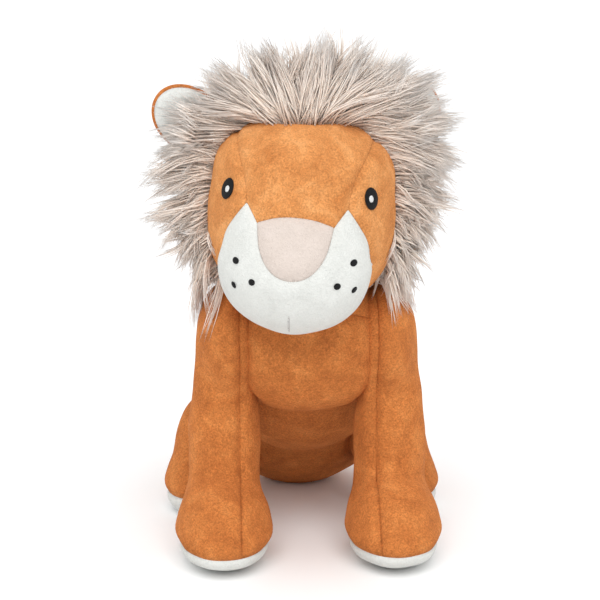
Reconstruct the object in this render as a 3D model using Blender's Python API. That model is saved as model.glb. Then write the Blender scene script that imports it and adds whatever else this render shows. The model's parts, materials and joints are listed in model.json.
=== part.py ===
"""A sitting plush lion: sewn covers over stuffing, a fur mane, and soft joints at neck, legs, ears and tail.

The lion faces -Y, its left side is +X, and it stands on Z = 0. Places along Y are measured from the
neck joint, and the whole lion is then moved so that the middle of its box is at the origin.
"""

import math

import bmesh
import bpy
import numpy as np
from mathutils import Matrix, Vector

# Fabric and running gaps
FABRIC = 0.0015
SEAM_GAP = 0.0003
ROOT_CLEARANCE = 0.0010
HEAD_CLEARANCE = 0.0010
MANE_CLEARANCE = 0.0041
EAR_CLEARANCE = 0.0018
OVERRUN = 0.020
ROUNDING = 0.004
FINE_ROUNDING = 0.001

# Where the neck joint is, and how far it lies in front of the middle of the lion's box
NECK_HEIGHT = 0.150
NECK_RADIUS = 0.026
NECK_FORWARD = 0.054

# Torso: three lobes from the chest back and down to the rump
CHEST_BACK = 0.005
CHEST_HEIGHT = 0.116
CHEST_HALF_WIDTH = 0.050
CHEST_HALF_DEPTH = 0.036
CHEST_HALF_HEIGHT = 0.040
WAIST_BACK = 0.056
WAIST_HEIGHT = 0.080
WAIST_HALF_WIDTH = 0.046
WAIST_HALF_LENGTH = 0.050
WAIST_HALF_DEPTH = 0.039
RUMP_BACK = 0.110
RUMP_HALF_WIDTH = 0.047
RUMP_HALF_LENGTH = 0.058
RUMP_HALF_DEPTH = 0.036
RUMP_SINK = 0.0035
BODY_SLOPE = math.radians(35)
RUMP_SLOPE = math.radians(40)
CHEST_SEAM = 0.037

# Front legs
SHOULDER_OUT = 0.042
SHOULDER_BACK = 0.004
SHOULDER_HEIGHT = 0.117
SHOULDER_HALF_WIDTH = 0.017
SHOULDER_RADIUS = 0.031
FRONT_SHANK_OUT = 0.045
FRONT_SHANK_BACK = 0.001
FRONT_SHANK_HALF_WIDTH = 0.0195
FRONT_SHANK_HALF_DEPTH = 0.019
FRONT_PAW_OUT = 0.0455
FRONT_PAW_FORWARD = 0.018
FRONT_PAW_HALF_WIDTH = 0.0240
FRONT_PAW_HALF_LENGTH = 0.031
FRONT_PAW_HALF_HEIGHT = 0.022
FRONT_SOLE_FORWARD = 0.027
FRONT_SOLE_HALF_WIDTH = 0.0225
FRONT_SOLE_HALF_LENGTH = 0.033
FRONT_SOLE_HALF_HEIGHT = 0.0130
FRONT_PAW_LIFT = 0.0004
LEG_SEAM_IN = 0.006

# Hind legs
HIP_OUT = 0.044
HIP_BACK = 0.090
HIP_HEIGHT = 0.044
HIP_HALF_WIDTH = 0.017
HIP_RADIUS = 0.027
HIND_SHANK_OUT = 0.054
HIND_SHANK_BACK = 0.078
HIND_SHANK_HEIGHT = 0.036
HIND_SHANK_HALF_WIDTH = 0.019
HIND_SHANK_HALF_DEPTH = 0.020
HIND_SHANK_HALF_HEIGHT = 0.028
HIND_PAW_OUT = 0.060
HIND_PAW_BACK = 0.066
HIND_PAW_HALF_WIDTH = 0.019
HIND_PAW_HALF_LENGTH = 0.024
HIND_PAW_HALF_HEIGHT = 0.0205
HIND_PAW_SINK = 0.0048

SOLE_HEIGHT = 0.012

# Head, in its own upright pose: skull, crown, jowl and muzzle lobes
SKULL_FORWARD = 0.017
SKULL_HEIGHT = 0.190
SKULL_HALF_WIDTH = 0.0480
SKULL_HALF_DEPTH = 0.0490
SKULL_HALF_HEIGHT = 0.0433
CROWN_FORWARD = 0.0180
CROWN_HEIGHT = 0.2125
CROWN_HALF_WIDTH = 0.0455
CROWN_HALF_DEPTH = 0.0440
CROWN_HALF_HEIGHT = 0.0262
JOWL_FORWARD = 0.0180
JOWL_HEIGHT = 0.1705
JOWL_HALF_WIDTH = 0.0453
JOWL_HALF_DEPTH = 0.0360
JOWL_HALF_HEIGHT = 0.0316
MUZZLE_FORWARD = 0.050
MUZZLE_HEIGHT = 0.164
MUZZLE_HALF_WIDTH = 0.038
MUZZLE_HALF_DEPTH = 0.029
MUZZLE_HALF_HEIGHT = 0.033
FACE_EDGE_FORWARD = 0.016
MUZZLE_PATCH_DEPTH = 0.043
FACE_REACH = MUZZLE_FORWARD + MUZZLE_HALF_DEPTH + OVERRUN

# How the head is held in the photograph: turned to its right and tipped to its left
HEAD_TURN = math.radians(-6.5)
HEAD_TIP = math.radians(3.5)
TIP_HEIGHT = 0.215

# Mane: a wide ruff round the face, and a smaller lobe over the back of the head
MANE_ASIDE = -0.0008
MANE_BACK = 0.003
MANE_HEIGHT = 0.197
MANE_HALF_WIDTH = 0.085
MANE_HALF_DEPTH = 0.040
MANE_HALF_HEIGHT = 0.081
NAPE_BACK = 0.028
NAPE_HEIGHT = 0.188
NAPE_HALF_WIDTH = 0.062
NAPE_HALF_DEPTH = 0.042
NAPE_HALF_HEIGHT = 0.060

# Embroidery
STITCH_HEIGHT = 0.0008
GLINT_HEIGHT = 0.0004
EYE_OUT = 0.0365
EYE_RISE = 0.0130
EYE_WIDTH = 0.0062
EYE_LENGTH = 0.0116
EYE_LEANS = {"left": math.radians(12), "right": math.radians(18)}
GLINT_WIDTH = 0.0021
GLINT_LENGTH = 0.0036
DOT_SIZE = 0.0034
MOUTH_WIDTH = 0.0012
MOUTH_LENGTH = 0.0110
MOUTH_BELOW = 0.0245

# Ears
EAR_RISES = {"left": math.radians(45), "right": math.radians(33)}
EAR_LEANS = {"left": math.radians(35), "right": math.radians(0)}
EAR_FORWARD = 0.004
EAR_ROOT_RADIUS = 0.0045
EAR_ROOT_HALF_WIDTH = 0.011
EAR_REACH = 0.0175
EAR_HALF_LENGTH = 0.0220
EAR_HALF_WIDTH = 0.0170
EAR_HALF_THICKNESS = 0.0048
LINING_HALF_LENGTH = 0.0165
LINING_HALF_WIDTH = 0.0135
LINING_HALF_THICKNESS = 0.0034
LINING_FORWARD = 0.0032
EAR_CUP_RADIUS = 0.034
EAR_CUP_DEPTH = 0.0030

# Tail
TAIL_HEIGHT = 0.0565
TAIL_SINK = 0.002
TAIL_RADIUS = 0.0072
TAIL_HALF_LENGTH = 0.026
TAIL_SLOPE = math.radians(38)
TUFT_HALF_WIDTH = 0.0115
TUFT_HALF_LENGTH = 0.019
TUFT_DOWN = 0.046

# Travel of each joint from the photographed pose, in degrees, as sampled when room is cut for it
HEAD_TURNS = (-10, 0, 10, 20)
HEAD_NODS = (-8, 0, 10)
FRONT_LEG_SWINGS = (-20, -10, 0, 8)
HIND_LEG_SWINGS = (-12, 0, 10)
EAR_FOLDS = (-15, -7.5, 0, 7.5, 15)
TAIL_SWINGS = (-30, -15, 0, 15, 30)

# Mesh counts: columns round a form and rows from pole to pole
TORSO_MESH = (20, 12)
HEAD_MESH = (22, 12)
LEG_MESH = (14, 9)
MANE_MESH = (22, 11)
SMALL_MESH = (12, 7)
ROOM_MESH = (20, 12)
BALL_MESH = (18, 10)
STITCH_SIDES = 12
TRACE_STEPS = 120
TRACE_SHARE = 0.6
MITRE_LIMIT = 0.5
TINY = 1e-9
WELD = 1e-6

# Colours, linear
ORANGE = (0.60, 0.20, 0.055, 1)
WHITE = (0.84, 0.85, 0.82, 1)
PINK = (0.90, 0.78, 0.70, 1)
BLACK = (0.012, 0.012, 0.014, 1)
GREY = (0.55, 0.54, 0.52, 1)
TAUPE = (0.53, 0.44, 0.40, 1)
FILLING = (0.80, 0.80, 0.77, 1)

UPRIGHT = Matrix.Identity(4)
SIDES = {"left": 1, "right": -1}
ROUGHNESS = 0.9


def moved(points, matrix):
    """Rows of points after a 4x4 matrix."""
    turned = points @ np.array(matrix.to_3x3()).T
    return turned + np.array(matrix.translation)


def shift(*place):
    return Matrix.Translation(Vector(place))


def turn(pivot, axis, degrees):
    """A turn about an axis through a pivot."""
    return shift(*pivot) @ Matrix.Rotation(math.radians(degrees), 4, axis) @ shift(*-pivot)


def lobe(centre, half_sizes, tilt=0.0):
    """An ellipsoid: its centre, half sizes and tilt about X."""
    return np.array(centre), np.array(half_sizes), np.array(Matrix.Rotation(tilt, 3, "X"))


def lobe_distance(points, centre, half_sizes, turned):
    """About how far each point lies outside a lobe, less than nothing inside it."""
    local = (points - centre) @ turned
    reach = np.linalg.norm(local / half_sizes, axis=1)
    slope = np.linalg.norm(local / half_sizes**2, axis=1)
    return reach * (reach - 1) / np.maximum(slope, TINY)


def blend(lobes, pose=UPRIGHT, rounding=ROUNDING):
    """A field that is the distance outside the rounded union of some lobes."""
    back = pose.inverted()

    def field(points):
        own = moved(points, back)
        nearness = sum(np.exp(-lobe_distance(own, *one) / rounding) for one in lobes)
        return -rounding * np.log(nearness)

    return field


def rested(field):
    """The field of a form that lies flat on Z = 0."""
    return lambda points: np.maximum(field(points), -points[:, 2])


def swept(field, turns):
    """The field of all the room that a form passes through in these turns."""
    backs = [one.inverted() for one in turns]
    return lambda points: np.min([field(moved(points, back)) for back in backs], axis=0)


def together(*fields):
    return lambda points: np.min([field(points) for field in fields], axis=0)


def traced(field, starts, ways, level=0.0):
    """Where rays from inside a form first reach a level of its field."""
    reach = np.full(len(starts), WELD)
    for _ in range(TRACE_STEPS):
        reach += (level - field(starts + ways * reach[:, None])) * TRACE_SHARE
    return starts + ways * reach[:, None]


model = bpy.data.collections.new("plush_lion")
cutters = bpy.data.collections.new("plush_lion_cutters")
made_cutters = {}


def mesh_of(name, shape):
    mesh = bpy.data.meshes.new(name)
    shape.to_mesh(mesh)
    shape.free()
    return mesh


def form(name, field, frame, half_spine, level, counts):
    """A closed mesh on one level of a field: a unit sphere's points, sent out along rays from a spine."""
    shape = bmesh.new()
    bmesh.ops.create_uvsphere(shape, u_segments=counts[0], v_segments=counts[1], radius=1)
    unit = np.array([point.co for point in shape.verts])
    starts = moved(np.outer(unit[:, 2] * half_spine, (0, 0, 1)), frame)
    ways = unit @ np.array(frame.to_3x3()).T
    for point, place in zip(shape.verts, traced(field, starts, ways, level)):
        point.co = place
    bmesh.ops.triangulate(shape, faces=shape.faces, quad_method="FIXED")
    return mesh_of(name, shape)


def block(name, low, high):
    """A box between two corners."""
    shape = bmesh.new()
    bmesh.ops.create_cube(shape, size=1)
    size, middle = Vector(high) - Vector(low), (Vector(high) + Vector(low)) / 2
    bmesh.ops.transform(shape, matrix=shift(*middle) @ Matrix.Diagonal(size).to_4x4(), verts=shape.verts)
    return mesh_of(name, shape)


def ball(name, centre, radius):
    shape = bmesh.new()
    bmesh.ops.create_uvsphere(shape, u_segments=BALL_MESH[0], v_segments=BALL_MESH[1], radius=radius)
    bmesh.ops.translate(shape, vec=centre, verts=shape.verts)
    return mesh_of(name, shape)


def oval_bar(name, across, height, depth_from, size, lean=0.0):
    """An oval bar that runs forward from a depth in the head, to lay an oval patch on the face."""
    width, length = size
    shape = bmesh.new()
    bmesh.ops.create_cone(
        shape, cap_ends=True, segments=STITCH_SIDES, radius1=1, radius2=1, depth=FACE_REACH
    )
    scaled = Matrix.Diagonal((width / 2, length / 2, 1, 1))
    lying = Matrix.Rotation(math.pi / 2, 4, "X")
    leaning = Matrix.Rotation(lean, 4, "Y")
    place = shift(across, -depth_from - FACE_REACH / 2, height)
    bmesh.ops.transform(shape, matrix=HEAD_POSE @ place @ leaning @ lying @ scaled, verts=shape.verts)
    return mesh_of(name, shape)


def grown(points, by):
    """A closed outline moved outward by a distance, its points in turn against the clock."""
    found = []
    for before, here, after in zip(points[-1:] + points[:-1], points, points[1:] + points[:1]):
        edges = [(Vector(here) - Vector(before)).normalized(), (Vector(after) - Vector(here)).normalized()]
        outs = [Vector((edge.y, -edge.x)) for edge in edges]
        middle = (outs[0] + outs[1]).normalized()
        found.append(tuple(Vector(here) + middle * by / max(middle.dot(outs[0]), MITRE_LIMIT)))
    return found


def mirrored(half):
    """A closed outline from its right half, which runs against the clock from low to high."""
    return half + [(-across, height) for across, height in reversed(half) if across]


def prism(name, outline, depth_from, pose):
    """A face outline, across and up, carried forward from a depth on the head."""
    curve = bpy.data.curves.new(name, "CURVE")
    curve.dimensions = "2D"
    curve.fill_mode = "BOTH"
    curve.extrude = FACE_REACH / 2
    spline = curve.splines.new("POLY")
    spline.points.add(len(outline) - 1)
    for point, (across, height) in zip(spline.points, outline):
        point.co = (across, height, 0, 1)
    spline.use_cyclic_u = True
    holder = bpy.data.objects.new(name, curve)
    mesh = bpy.data.meshes.new_from_object(holder)
    bpy.data.objects.remove(holder)
    shape = bmesh.new()
    shape.from_mesh(mesh)
    bpy.data.meshes.remove(mesh)
    bmesh.ops.remove_doubles(shape, verts=shape.verts, dist=WELD)
    standing = Matrix.Rotation(math.pi / 2, 4, "X")
    place = shift(0, -depth_from - FACE_REACH / 2, 0)
    bmesh.ops.transform(shape, matrix=pose @ place @ standing, verts=shape.verts)
    bmesh.ops.recalc_face_normals(shape, faces=shape.faces)
    return mesh_of(name, shape)


def cutter(mesh):
    """Puts a mesh among the cutters and gives its object."""
    made = bpy.data.objects.new(mesh.name, mesh)
    made.parent = lion
    made.hide_render = True
    made.display_type = "WIRE"
    cutters.objects.link(made)
    made_cutters[mesh.name] = made
    return made


def moved_cutters(mesh, moves):
    """The room that a mesh needs in each of its moves, as one cutter for each move."""
    found = []
    for number, move in enumerate(moves, 1):
        one = mesh.copy()
        one.name = f"{mesh.name}_{number}"
        one.transform(move)
        found.append(cutter(one))
    return found


def material(name, colour):
    made = bpy.data.materials.new(name)
    made.use_nodes = True
    surface = made.node_tree.nodes["Principled BSDF"]
    surface.inputs["Base Color"].default_value = colour
    surface.inputs["Roughness"].default_value = ROUGHNESS
    surface.inputs["Metallic"].default_value = 0
    made.diffuse_color = colour
    return made


def cut(made, keep=(), drop=()):
    """Keeps an object inside some cutters and outside others."""
    for operation, tools in (("DIFFERENCE", drop), ("INTERSECT", keep)):
        for tool in tools:
            change = made.modifiers.new(f"{operation.lower()} {tool.name}", "BOOLEAN")
            change.operation = operation
            change.solver = "EXACT"
            change.object = tool
    return made


def piece(name, body, mesh, colour, keep=(), drop=()):
    """One sub-part: a mesh in the body's empty, kept inside some cutters and outside others."""
    made = bpy.data.objects.new(name, mesh.copy())
    made.data.name = name
    made.data.transform(shift(*-joints[body]))
    made.parent = bodies[body]
    made.data.materials.clear()
    made.data.materials.append(material(name, colour))
    model.objects.link(made)
    cut(made, keep, drop)


def empty(name, place, parent=None):
    made = bpy.data.objects.new(name, None)
    model.objects.link(made)
    made.location = place
    made.parent = parent
    return made


def clear_scene():
    for old in list(bpy.data.objects):
        bpy.data.objects.remove(old)
    bpy.context.scene.collection.children.link(model)
    bpy.context.scene.collection.children.link(cutters)


clear_scene()
lion = empty("lion", (0, -NECK_FORWARD, 0))

# Places of the joints, from the lion's own reference
NECK = Vector((0, 0, NECK_HEIGHT))
joints = {"torso": Vector((0, 0, 0)), "neck": NECK, "head": NECK}
for side, sign in SIDES.items():
    joints[f"front_leg_{side}"] = Vector((sign * SHOULDER_OUT, SHOULDER_BACK, SHOULDER_HEIGHT))
    joints[f"hind_leg_{side}"] = Vector((sign * HIP_OUT, HIP_BACK, HIP_HEIGHT))

# The head's pose: tipped, then turned about the neck
SKULL = Vector((0, -SKULL_FORWARD, SKULL_HEIGHT))
TIP = Vector((0, 0, TIP_HEIGHT))
HEAD_POSE = turn(NECK, "Z", math.degrees(HEAD_TURN)) @ turn(TIP, "Y", math.degrees(HEAD_TIP))
NOD_AXIS = Matrix.Rotation(HEAD_TURN, 3, "Z") @ Vector((1, 0, 0))
HEAD_MOVES = [
    turn(NECK, "Z", turned) @ turn(NECK, NOD_AXIS, nodded)
    for turned in HEAD_TURNS
    for nodded in HEAD_NODS
]

# Torso form
RUMP_HEIGHT = math.hypot(RUMP_HALF_LENGTH * math.sin(RUMP_SLOPE), RUMP_HALF_DEPTH * math.cos(RUMP_SLOPE))
torso_lobes = [
    lobe((0, CHEST_BACK, CHEST_HEIGHT), (CHEST_HALF_WIDTH, CHEST_HALF_DEPTH, CHEST_HALF_HEIGHT)),
    lobe(
        (0, WAIST_BACK, WAIST_HEIGHT),
        (WAIST_HALF_WIDTH, WAIST_HALF_LENGTH, WAIST_HALF_DEPTH),
        -BODY_SLOPE,
    ),
    lobe(
        (0, RUMP_BACK, RUMP_HEIGHT - RUMP_SINK),
        (RUMP_HALF_WIDTH, RUMP_HALF_LENGTH, RUMP_HALF_DEPTH),
        -RUMP_SLOPE,
    ),
]
torso_field = rested(blend(torso_lobes))


def leg_lobes(sign, front):
    """Root, shank and paw of a leg. The root is round about the joint's axis."""
    if front:
        return [
            lobe(
                (sign * SHOULDER_OUT, SHOULDER_BACK, SHOULDER_HEIGHT),
                (SHOULDER_HALF_WIDTH, SHOULDER_RADIUS, SHOULDER_RADIUS),
            ),
            lobe(
                (sign * FRONT_SHANK_OUT, FRONT_SHANK_BACK, SHOULDER_HEIGHT / 2),
                (FRONT_SHANK_HALF_WIDTH, FRONT_SHANK_HALF_DEPTH, SHOULDER_HEIGHT / 2),
            ),
            lobe(
                (sign * FRONT_PAW_OUT, -FRONT_PAW_FORWARD, FRONT_PAW_HALF_HEIGHT + FRONT_PAW_LIFT),
                (FRONT_PAW_HALF_WIDTH, FRONT_PAW_HALF_LENGTH, FRONT_PAW_HALF_HEIGHT),
            ),
            lobe(
                (sign * FRONT_PAW_OUT, -FRONT_SOLE_FORWARD, FRONT_SOLE_HALF_HEIGHT + FRONT_PAW_LIFT),
                (FRONT_SOLE_HALF_WIDTH, FRONT_SOLE_HALF_LENGTH, FRONT_SOLE_HALF_HEIGHT),
            ),
        ]
    return [
        lobe((sign * HIP_OUT, HIP_BACK, HIP_HEIGHT), (HIP_HALF_WIDTH, HIP_RADIUS, HIP_RADIUS)),
        lobe(
            (sign * HIND_SHANK_OUT, HIND_SHANK_BACK, HIND_SHANK_HEIGHT),
            (HIND_SHANK_HALF_WIDTH, HIND_SHANK_HALF_DEPTH, HIND_SHANK_HALF_HEIGHT),
        ),
        lobe(
            (sign * HIND_PAW_OUT, HIND_PAW_BACK, HIND_PAW_HALF_HEIGHT - HIND_PAW_SINK),
            (HIND_PAW_HALF_WIDTH, HIND_PAW_HALF_LENGTH, HIND_PAW_HALF_HEIGHT),
        ),
    ]


# Legs: where each is, its swings and the frame that its mesh is sent out from
legs = {}
for side, sign in SIDES.items():
    for kind, swings in (("front_leg", FRONT_LEG_SWINGS), ("hind_leg", HIND_LEG_SWINGS)):
        body = f"{kind}_{side}"
        pivot = joints[body]
        front = kind == "front_leg"
        field = rested(blend(leg_lobes(sign, front)))
        legs[body] = {
            "field": field,
            "moves": [turn(pivot, "X", swing) for swing in swings],
            "sign": sign,
            "front": front,
        }

# Head form
head_lobes = [
    lobe(SKULL, (SKULL_HALF_WIDTH, SKULL_HALF_DEPTH, SKULL_HALF_HEIGHT)),
    lobe((0, -CROWN_FORWARD, CROWN_HEIGHT), (CROWN_HALF_WIDTH, CROWN_HALF_DEPTH, CROWN_HALF_HEIGHT)),
    lobe((0, -JOWL_FORWARD, JOWL_HEIGHT), (JOWL_HALF_WIDTH, JOWL_HALF_DEPTH, JOWL_HALF_HEIGHT)),
    lobe(
        (0, -MUZZLE_FORWARD, MUZZLE_HEIGHT),
        (MUZZLE_HALF_WIDTH, MUZZLE_HALF_DEPTH, MUZZLE_HALF_HEIGHT),
    ),
]
head_field = blend(head_lobes, HEAD_POSE)
head_frame = HEAD_POSE @ shift(*SKULL)
head_swept = swept(head_field, HEAD_MOVES)

mane_lobes = [
    lobe((MANE_ASIDE, MANE_BACK, MANE_HEIGHT), (MANE_HALF_WIDTH, MANE_HALF_DEPTH, MANE_HALF_HEIGHT)),
    lobe((0, NAPE_BACK, NAPE_HEIGHT), (NAPE_HALF_WIDTH, NAPE_HALF_DEPTH, NAPE_HALF_HEIGHT)),
]
mane_field = blend(mane_lobes, HEAD_POSE)
mane_frame = HEAD_POSE @ shift(MANE_ASIDE, MANE_BACK, MANE_HEIGHT)

# Ears: an upright frame at each root, Z outward along the ear and Y to its back
ears = {}
for side, sign in SIDES.items():
    rise = EAR_RISES[side]
    way = Vector((sign * math.cos(rise), 0, math.sin(rise)))
    start = HEAD_POSE @ Vector((0, -EAR_FORWARD, SKULL_HEIGHT))
    ray = HEAD_POSE.to_3x3() @ way
    seat = traced(head_field, np.array([start]), np.array([ray]), ROOT_CLEARANCE + EAR_ROOT_RADIUS)[0]
    across = Vector((0, 1, 0)).cross(way)
    upright = Matrix((across, (0, 1, 0), way)).transposed().to_4x4()
    turned = upright @ Matrix.Rotation(-EAR_LEANS[side], 4, "X")
    pose = shift(*seat) @ HEAD_POSE.to_3x3().to_4x4() @ turned
    axis = pose.to_3x3() @ Vector((1, 0, 0))
    body = f"ear_{side}"
    joints[body] = Vector(seat)
    lobes = [
        lobe((0, 0, 0), (EAR_ROOT_HALF_WIDTH, EAR_ROOT_RADIUS, EAR_ROOT_RADIUS)),
        lobe((0, 0, EAR_REACH), (EAR_HALF_WIDTH, EAR_HALF_THICKNESS, EAR_HALF_LENGTH)),
    ]
    folds = [turn(Vector(seat), axis, fold) for fold in EAR_FOLDS]
    field = blend(lobes, pose, FINE_ROUNDING)
    ears[body] = {
        "pose": pose,
        "axis": axis,
        "field": field,
        "swept": swept(field, folds),
        "head": swept(head_field, [one.inverted() for one in folds]),
    }

# Tail: its root sits in the back of the rump
start = np.array([(0, RUMP_BACK, TAIL_HEIGHT)])
rump_back = traced(torso_field, start, np.array([(0, 1.0, 0)]))[0]
TAIL = Vector(rump_back) - Vector((0, TAIL_SINK, 0))
joints["tail"] = TAIL
tail_way = Matrix.Rotation(TAIL_SLOPE, 3, "X") @ Vector((0, 0, -1))
tail_lobes = [
    lobe(TAIL, (TAIL_RADIUS, TAIL_RADIUS, TAIL_RADIUS)),
    lobe(
        TAIL + tail_way * TAIL_HALF_LENGTH,
        (TAIL_RADIUS, TAIL_RADIUS, TAIL_HALF_LENGTH + TAIL_RADIUS),
        TAIL_SLOPE,
    ),
]
tail_field = blend(tail_lobes, UPRIGHT, FINE_ROUNDING)
tuft_place = TAIL + tail_way * TUFT_DOWN
tuft_field = blend([lobe(tuft_place, (TUFT_HALF_WIDTH, TUFT_HALF_WIDTH, TUFT_HALF_LENGTH), TAIL_SLOPE)])
tail_moves = [turn(TAIL, "Y", swing) for swing in TAIL_SWINGS]
tail_swept = swept(together(tail_field, tuft_field), tail_moves)

bodies = {name: empty(f"{name}_joint", place, lion) for name, place in joints.items()}

# Frames and spines that the meshes are sent out from
torso_frame = shift(0, WAIST_BACK, WAIST_HEIGHT) @ Matrix.Rotation(math.pi / 2 - BODY_SLOPE, 4, "X")
TORSO_SPINE = RUMP_BACK - WAIST_BACK


def leg_frame(leg):
    """Where a leg's mesh starts: half way down its spine, which leans from the root to the paw."""
    if leg["front"]:
        return shift(leg["sign"] * FRONT_SHANK_OUT, FRONT_SHANK_BACK, SHOULDER_HEIGHT / 2)
    return shift(leg["sign"] * HIND_SHANK_OUT, HIND_SHANK_BACK, HIND_SHANK_HEIGHT)


def leg_spine(leg):
    return SHOULDER_HEIGHT / 2 - FRONT_PAW_HALF_HEIGHT if leg["front"] else 0.0


def make_torso():
    room = [cutter(ball("neck_room", NECK, NECK_RADIUS + ROOT_CLEARANCE))]
    room.append(
        cutter(form("head_room", head_swept, head_frame, 0.0, HEAD_CLEARANCE, ROOM_MESH))
    )
    for body, leg in legs.items():
        frame, spine = leg_frame(leg), leg_spine(leg)
        grown_leg = form(f"{body}_room", leg["field"], frame, spine, ROOT_CLEARANCE, LEG_MESH)
        room += moved_cutters(grown_leg, leg["moves"])
    room.append(cutter(ball("tail_root_room", TAIL, TAIL_RADIUS + FINE_ROUNDING + ROOT_CLEARANCE)))
    tail_frame = shift(*(TAIL + tail_way * TAIL_HALF_LENGTH)) @ Matrix.Rotation(TAIL_SLOPE, 4, "X")
    room.append(
        cutter(form("tail_room", tail_swept, tail_frame, TAIL_HALF_LENGTH, ROOT_CLEARANCE, ROOM_MESH))
    )
    outer = form("torso_outside", torso_field, torso_frame, TORSO_SPINE, 0.0, TORSO_MESH)
    inner = cutter(form("torso_inside", torso_field, torso_frame, TORSO_SPINE, -FABRIC, TORSO_MESH))
    core = form("torso_filling", torso_field, torso_frame, TORSO_SPINE, -FABRIC - SEAM_GAP, TORSO_MESH)
    far = RUMP_BACK * 2
    around = cutter(gusset_block("chest_belly_edge", CHEST_SEAM + SEAM_GAP, SEAM_GAP))
    for side, sign in SIDES.items():
        half = cutter(
            block(
                f"torso_{side}_half",
                (min(sign * SEAM_GAP / 2, sign * far), -far, -OVERRUN),
                (max(sign * SEAM_GAP / 2, sign * far), far, far),
            )
        )
        piece(
            f"torso_side_{side}", "torso", outer, ORANGE, keep=[half], drop=[inner, *room, around]
        )
    gusset = cutter(gusset_block("chest_belly_area", CHEST_SEAM, 0.0))
    piece("chest_belly_panel", "torso", outer, ORANGE, keep=[gusset], drop=[inner, *room])
    piece("torso_stuffing", "torso", core, FILLING, drop=room)


def gusset_block(name, half_width, above):
    """The room under and in front of the body's slope, between the two chest seams."""
    far = RUMP_BACK * 2
    mesh = block(name, (-half_width, -far, -far), (half_width, far, above))
    mesh.transform(shift(0, WAIST_BACK, WAIST_HEIGHT) @ Matrix.Rotation(-BODY_SLOPE, 4, "X"))
    return mesh


def make_leg(body, leg):
    frame, spine = leg_frame(leg), leg_spine(leg)
    outer = form(f"{body}_outside", leg["field"], frame, spine, 0.0, LEG_MESH)
    inner = cutter(form(f"{body}_inside", leg["field"], frame, spine, -FABRIC, LEG_MESH))
    core = form(f"{body}_filling", leg["field"], frame, spine, -FABRIC - SEAM_GAP, LEG_MESH)
    sign = leg["sign"]
    seam = sign * (joints[body].x * sign - LEG_SEAM_IN if leg["front"] else HIND_SHANK_OUT)
    far = SHOULDER_HEIGHT * 2
    base = joints[body].y
    for layer, way in (("outer", sign), ("inner", -sign)):
        edge = seam + way * SEAM_GAP / 2
        half = cutter(
            block(
                f"{body}_{layer}_half",
                (min(edge, edge + way * far), base - far, SOLE_HEIGHT + SEAM_GAP),
                (max(edge, edge + way * far), base + far, far),
            )
        )
        piece(f"{body}_{layer}_panel", body, outer, ORANGE, keep=[half], drop=[inner])
    under = cutter(block(f"{body}_under", (-far, base - far, -OVERRUN), (far, base + far, SOLE_HEIGHT)))
    piece(f"{body}_sole", body, outer, WHITE, keep=[under], drop=[inner])
    piece(f"{body}_stuffing", body, core, FILLING)


def face_outlines():
    """The face's seams as outlines, across and up, in shares of the head's own sizes."""
    wide, low, tall = MUZZLE_HALF_WIDTH, MUZZLE_HEIGHT, MUZZLE_HALF_HEIGHT
    nose_shares = [
        (0.0, -0.02), (0.19, 0.03), (0.35, 0.19), (0.46, 0.44), (0.52, 0.785), (0.27, 0.88), (0.0, 0.91)
    ]
    nose = mirrored([(a * wide, low + b * tall) for a, b in nose_shares])
    muzzle_shares = [
        (1.15, -1.50), (1.15, -0.19), (1.04, 0.17), (0.95, 0.58), (0.68, 1.04), (0.54, 0.78), (0.0, 0.56)
    ]
    muzzle = mirrored([(a * wide, low + b * tall) for a, b in muzzle_shares])
    brow_shares = [(0.50, 0.47), (0.68, 1.04), (0.70, 1.20), (0.77, 1.52), (0.94, 2.03), (1.0, 2.72)]
    brow = mirrored([(a * wide, low + b * tall) for a, b in brow_shares])
    return nose, muzzle, brow


def make_head():
    def level(name, height):
        return form(name, head_field, head_frame, 0.0, height, HEAD_MESH)

    outer, inner = level("head_outside", 0.0), cutter(level("head_inside", -FABRIC))
    neck_room = made_cutters["neck_room"]
    far = SKULL_HEIGHT
    front_mesh = block("face_front", (-far, -far, 0), (far, -FACE_EDGE_FORWARD, far * 2))
    front_mesh.transform(HEAD_POSE)
    front = cutter(front_mesh)
    nose, muzzle, brow = face_outlines()

    def tool(name, outline, depth, by=0.0):
        return cutter(prism(name, grown(outline, by) if by else outline, depth, HEAD_POSE))

    deep = FACE_EDGE_FORWARD - OVERRUN
    nose_in = tool("nose_area", nose, MUZZLE_PATCH_DEPTH)
    nose_out = tool("nose_edge", nose, MUZZLE_PATCH_DEPTH, SEAM_GAP)
    muzzle_in = tool("muzzle_area", muzzle, MUZZLE_PATCH_DEPTH)
    muzzle_out = tool("muzzle_edge", muzzle, MUZZLE_PATCH_DEPTH - SEAM_GAP, SEAM_GAP)
    brow_in = tool("brow_area", brow, deep)
    brow_out = tool("brow_edge", brow, deep, SEAM_GAP)
    hollow = [inner, neck_room]
    piece("nose_patch", "head", outer, PINK, keep=[nose_in], drop=hollow)
    piece("muzzle_patch", "head", outer, WHITE, keep=[muzzle_in], drop=[*hollow, nose_out])
    piece(
        "forehead_panel", "head", outer, ORANGE, keep=[brow_in, front], drop=[*hollow, muzzle_out, nose_out]
    )
    for side, sign in SIDES.items():
        low = (min(sign * SEAM_GAP / 2, sign * far), -far, 0)
        high = (max(sign * SEAM_GAP / 2, sign * far), far, far * 2)
        half_mesh = block(f"face_{side}_half", low, high)
        half_mesh.transform(HEAD_POSE)
        piece(
            f"cheek_{side}",
            "head",
            outer,
            ORANGE,
            keep=[front, cutter(half_mesh)],
            drop=[*hollow, muzzle_out, brow_out],
        )
    piece("head_stuffing", "head", level("head_filling", -FABRIC - SEAM_GAP), FILLING, drop=[neck_room])
    make_embroidery(level)
    make_mane(level, inner, front)


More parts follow.
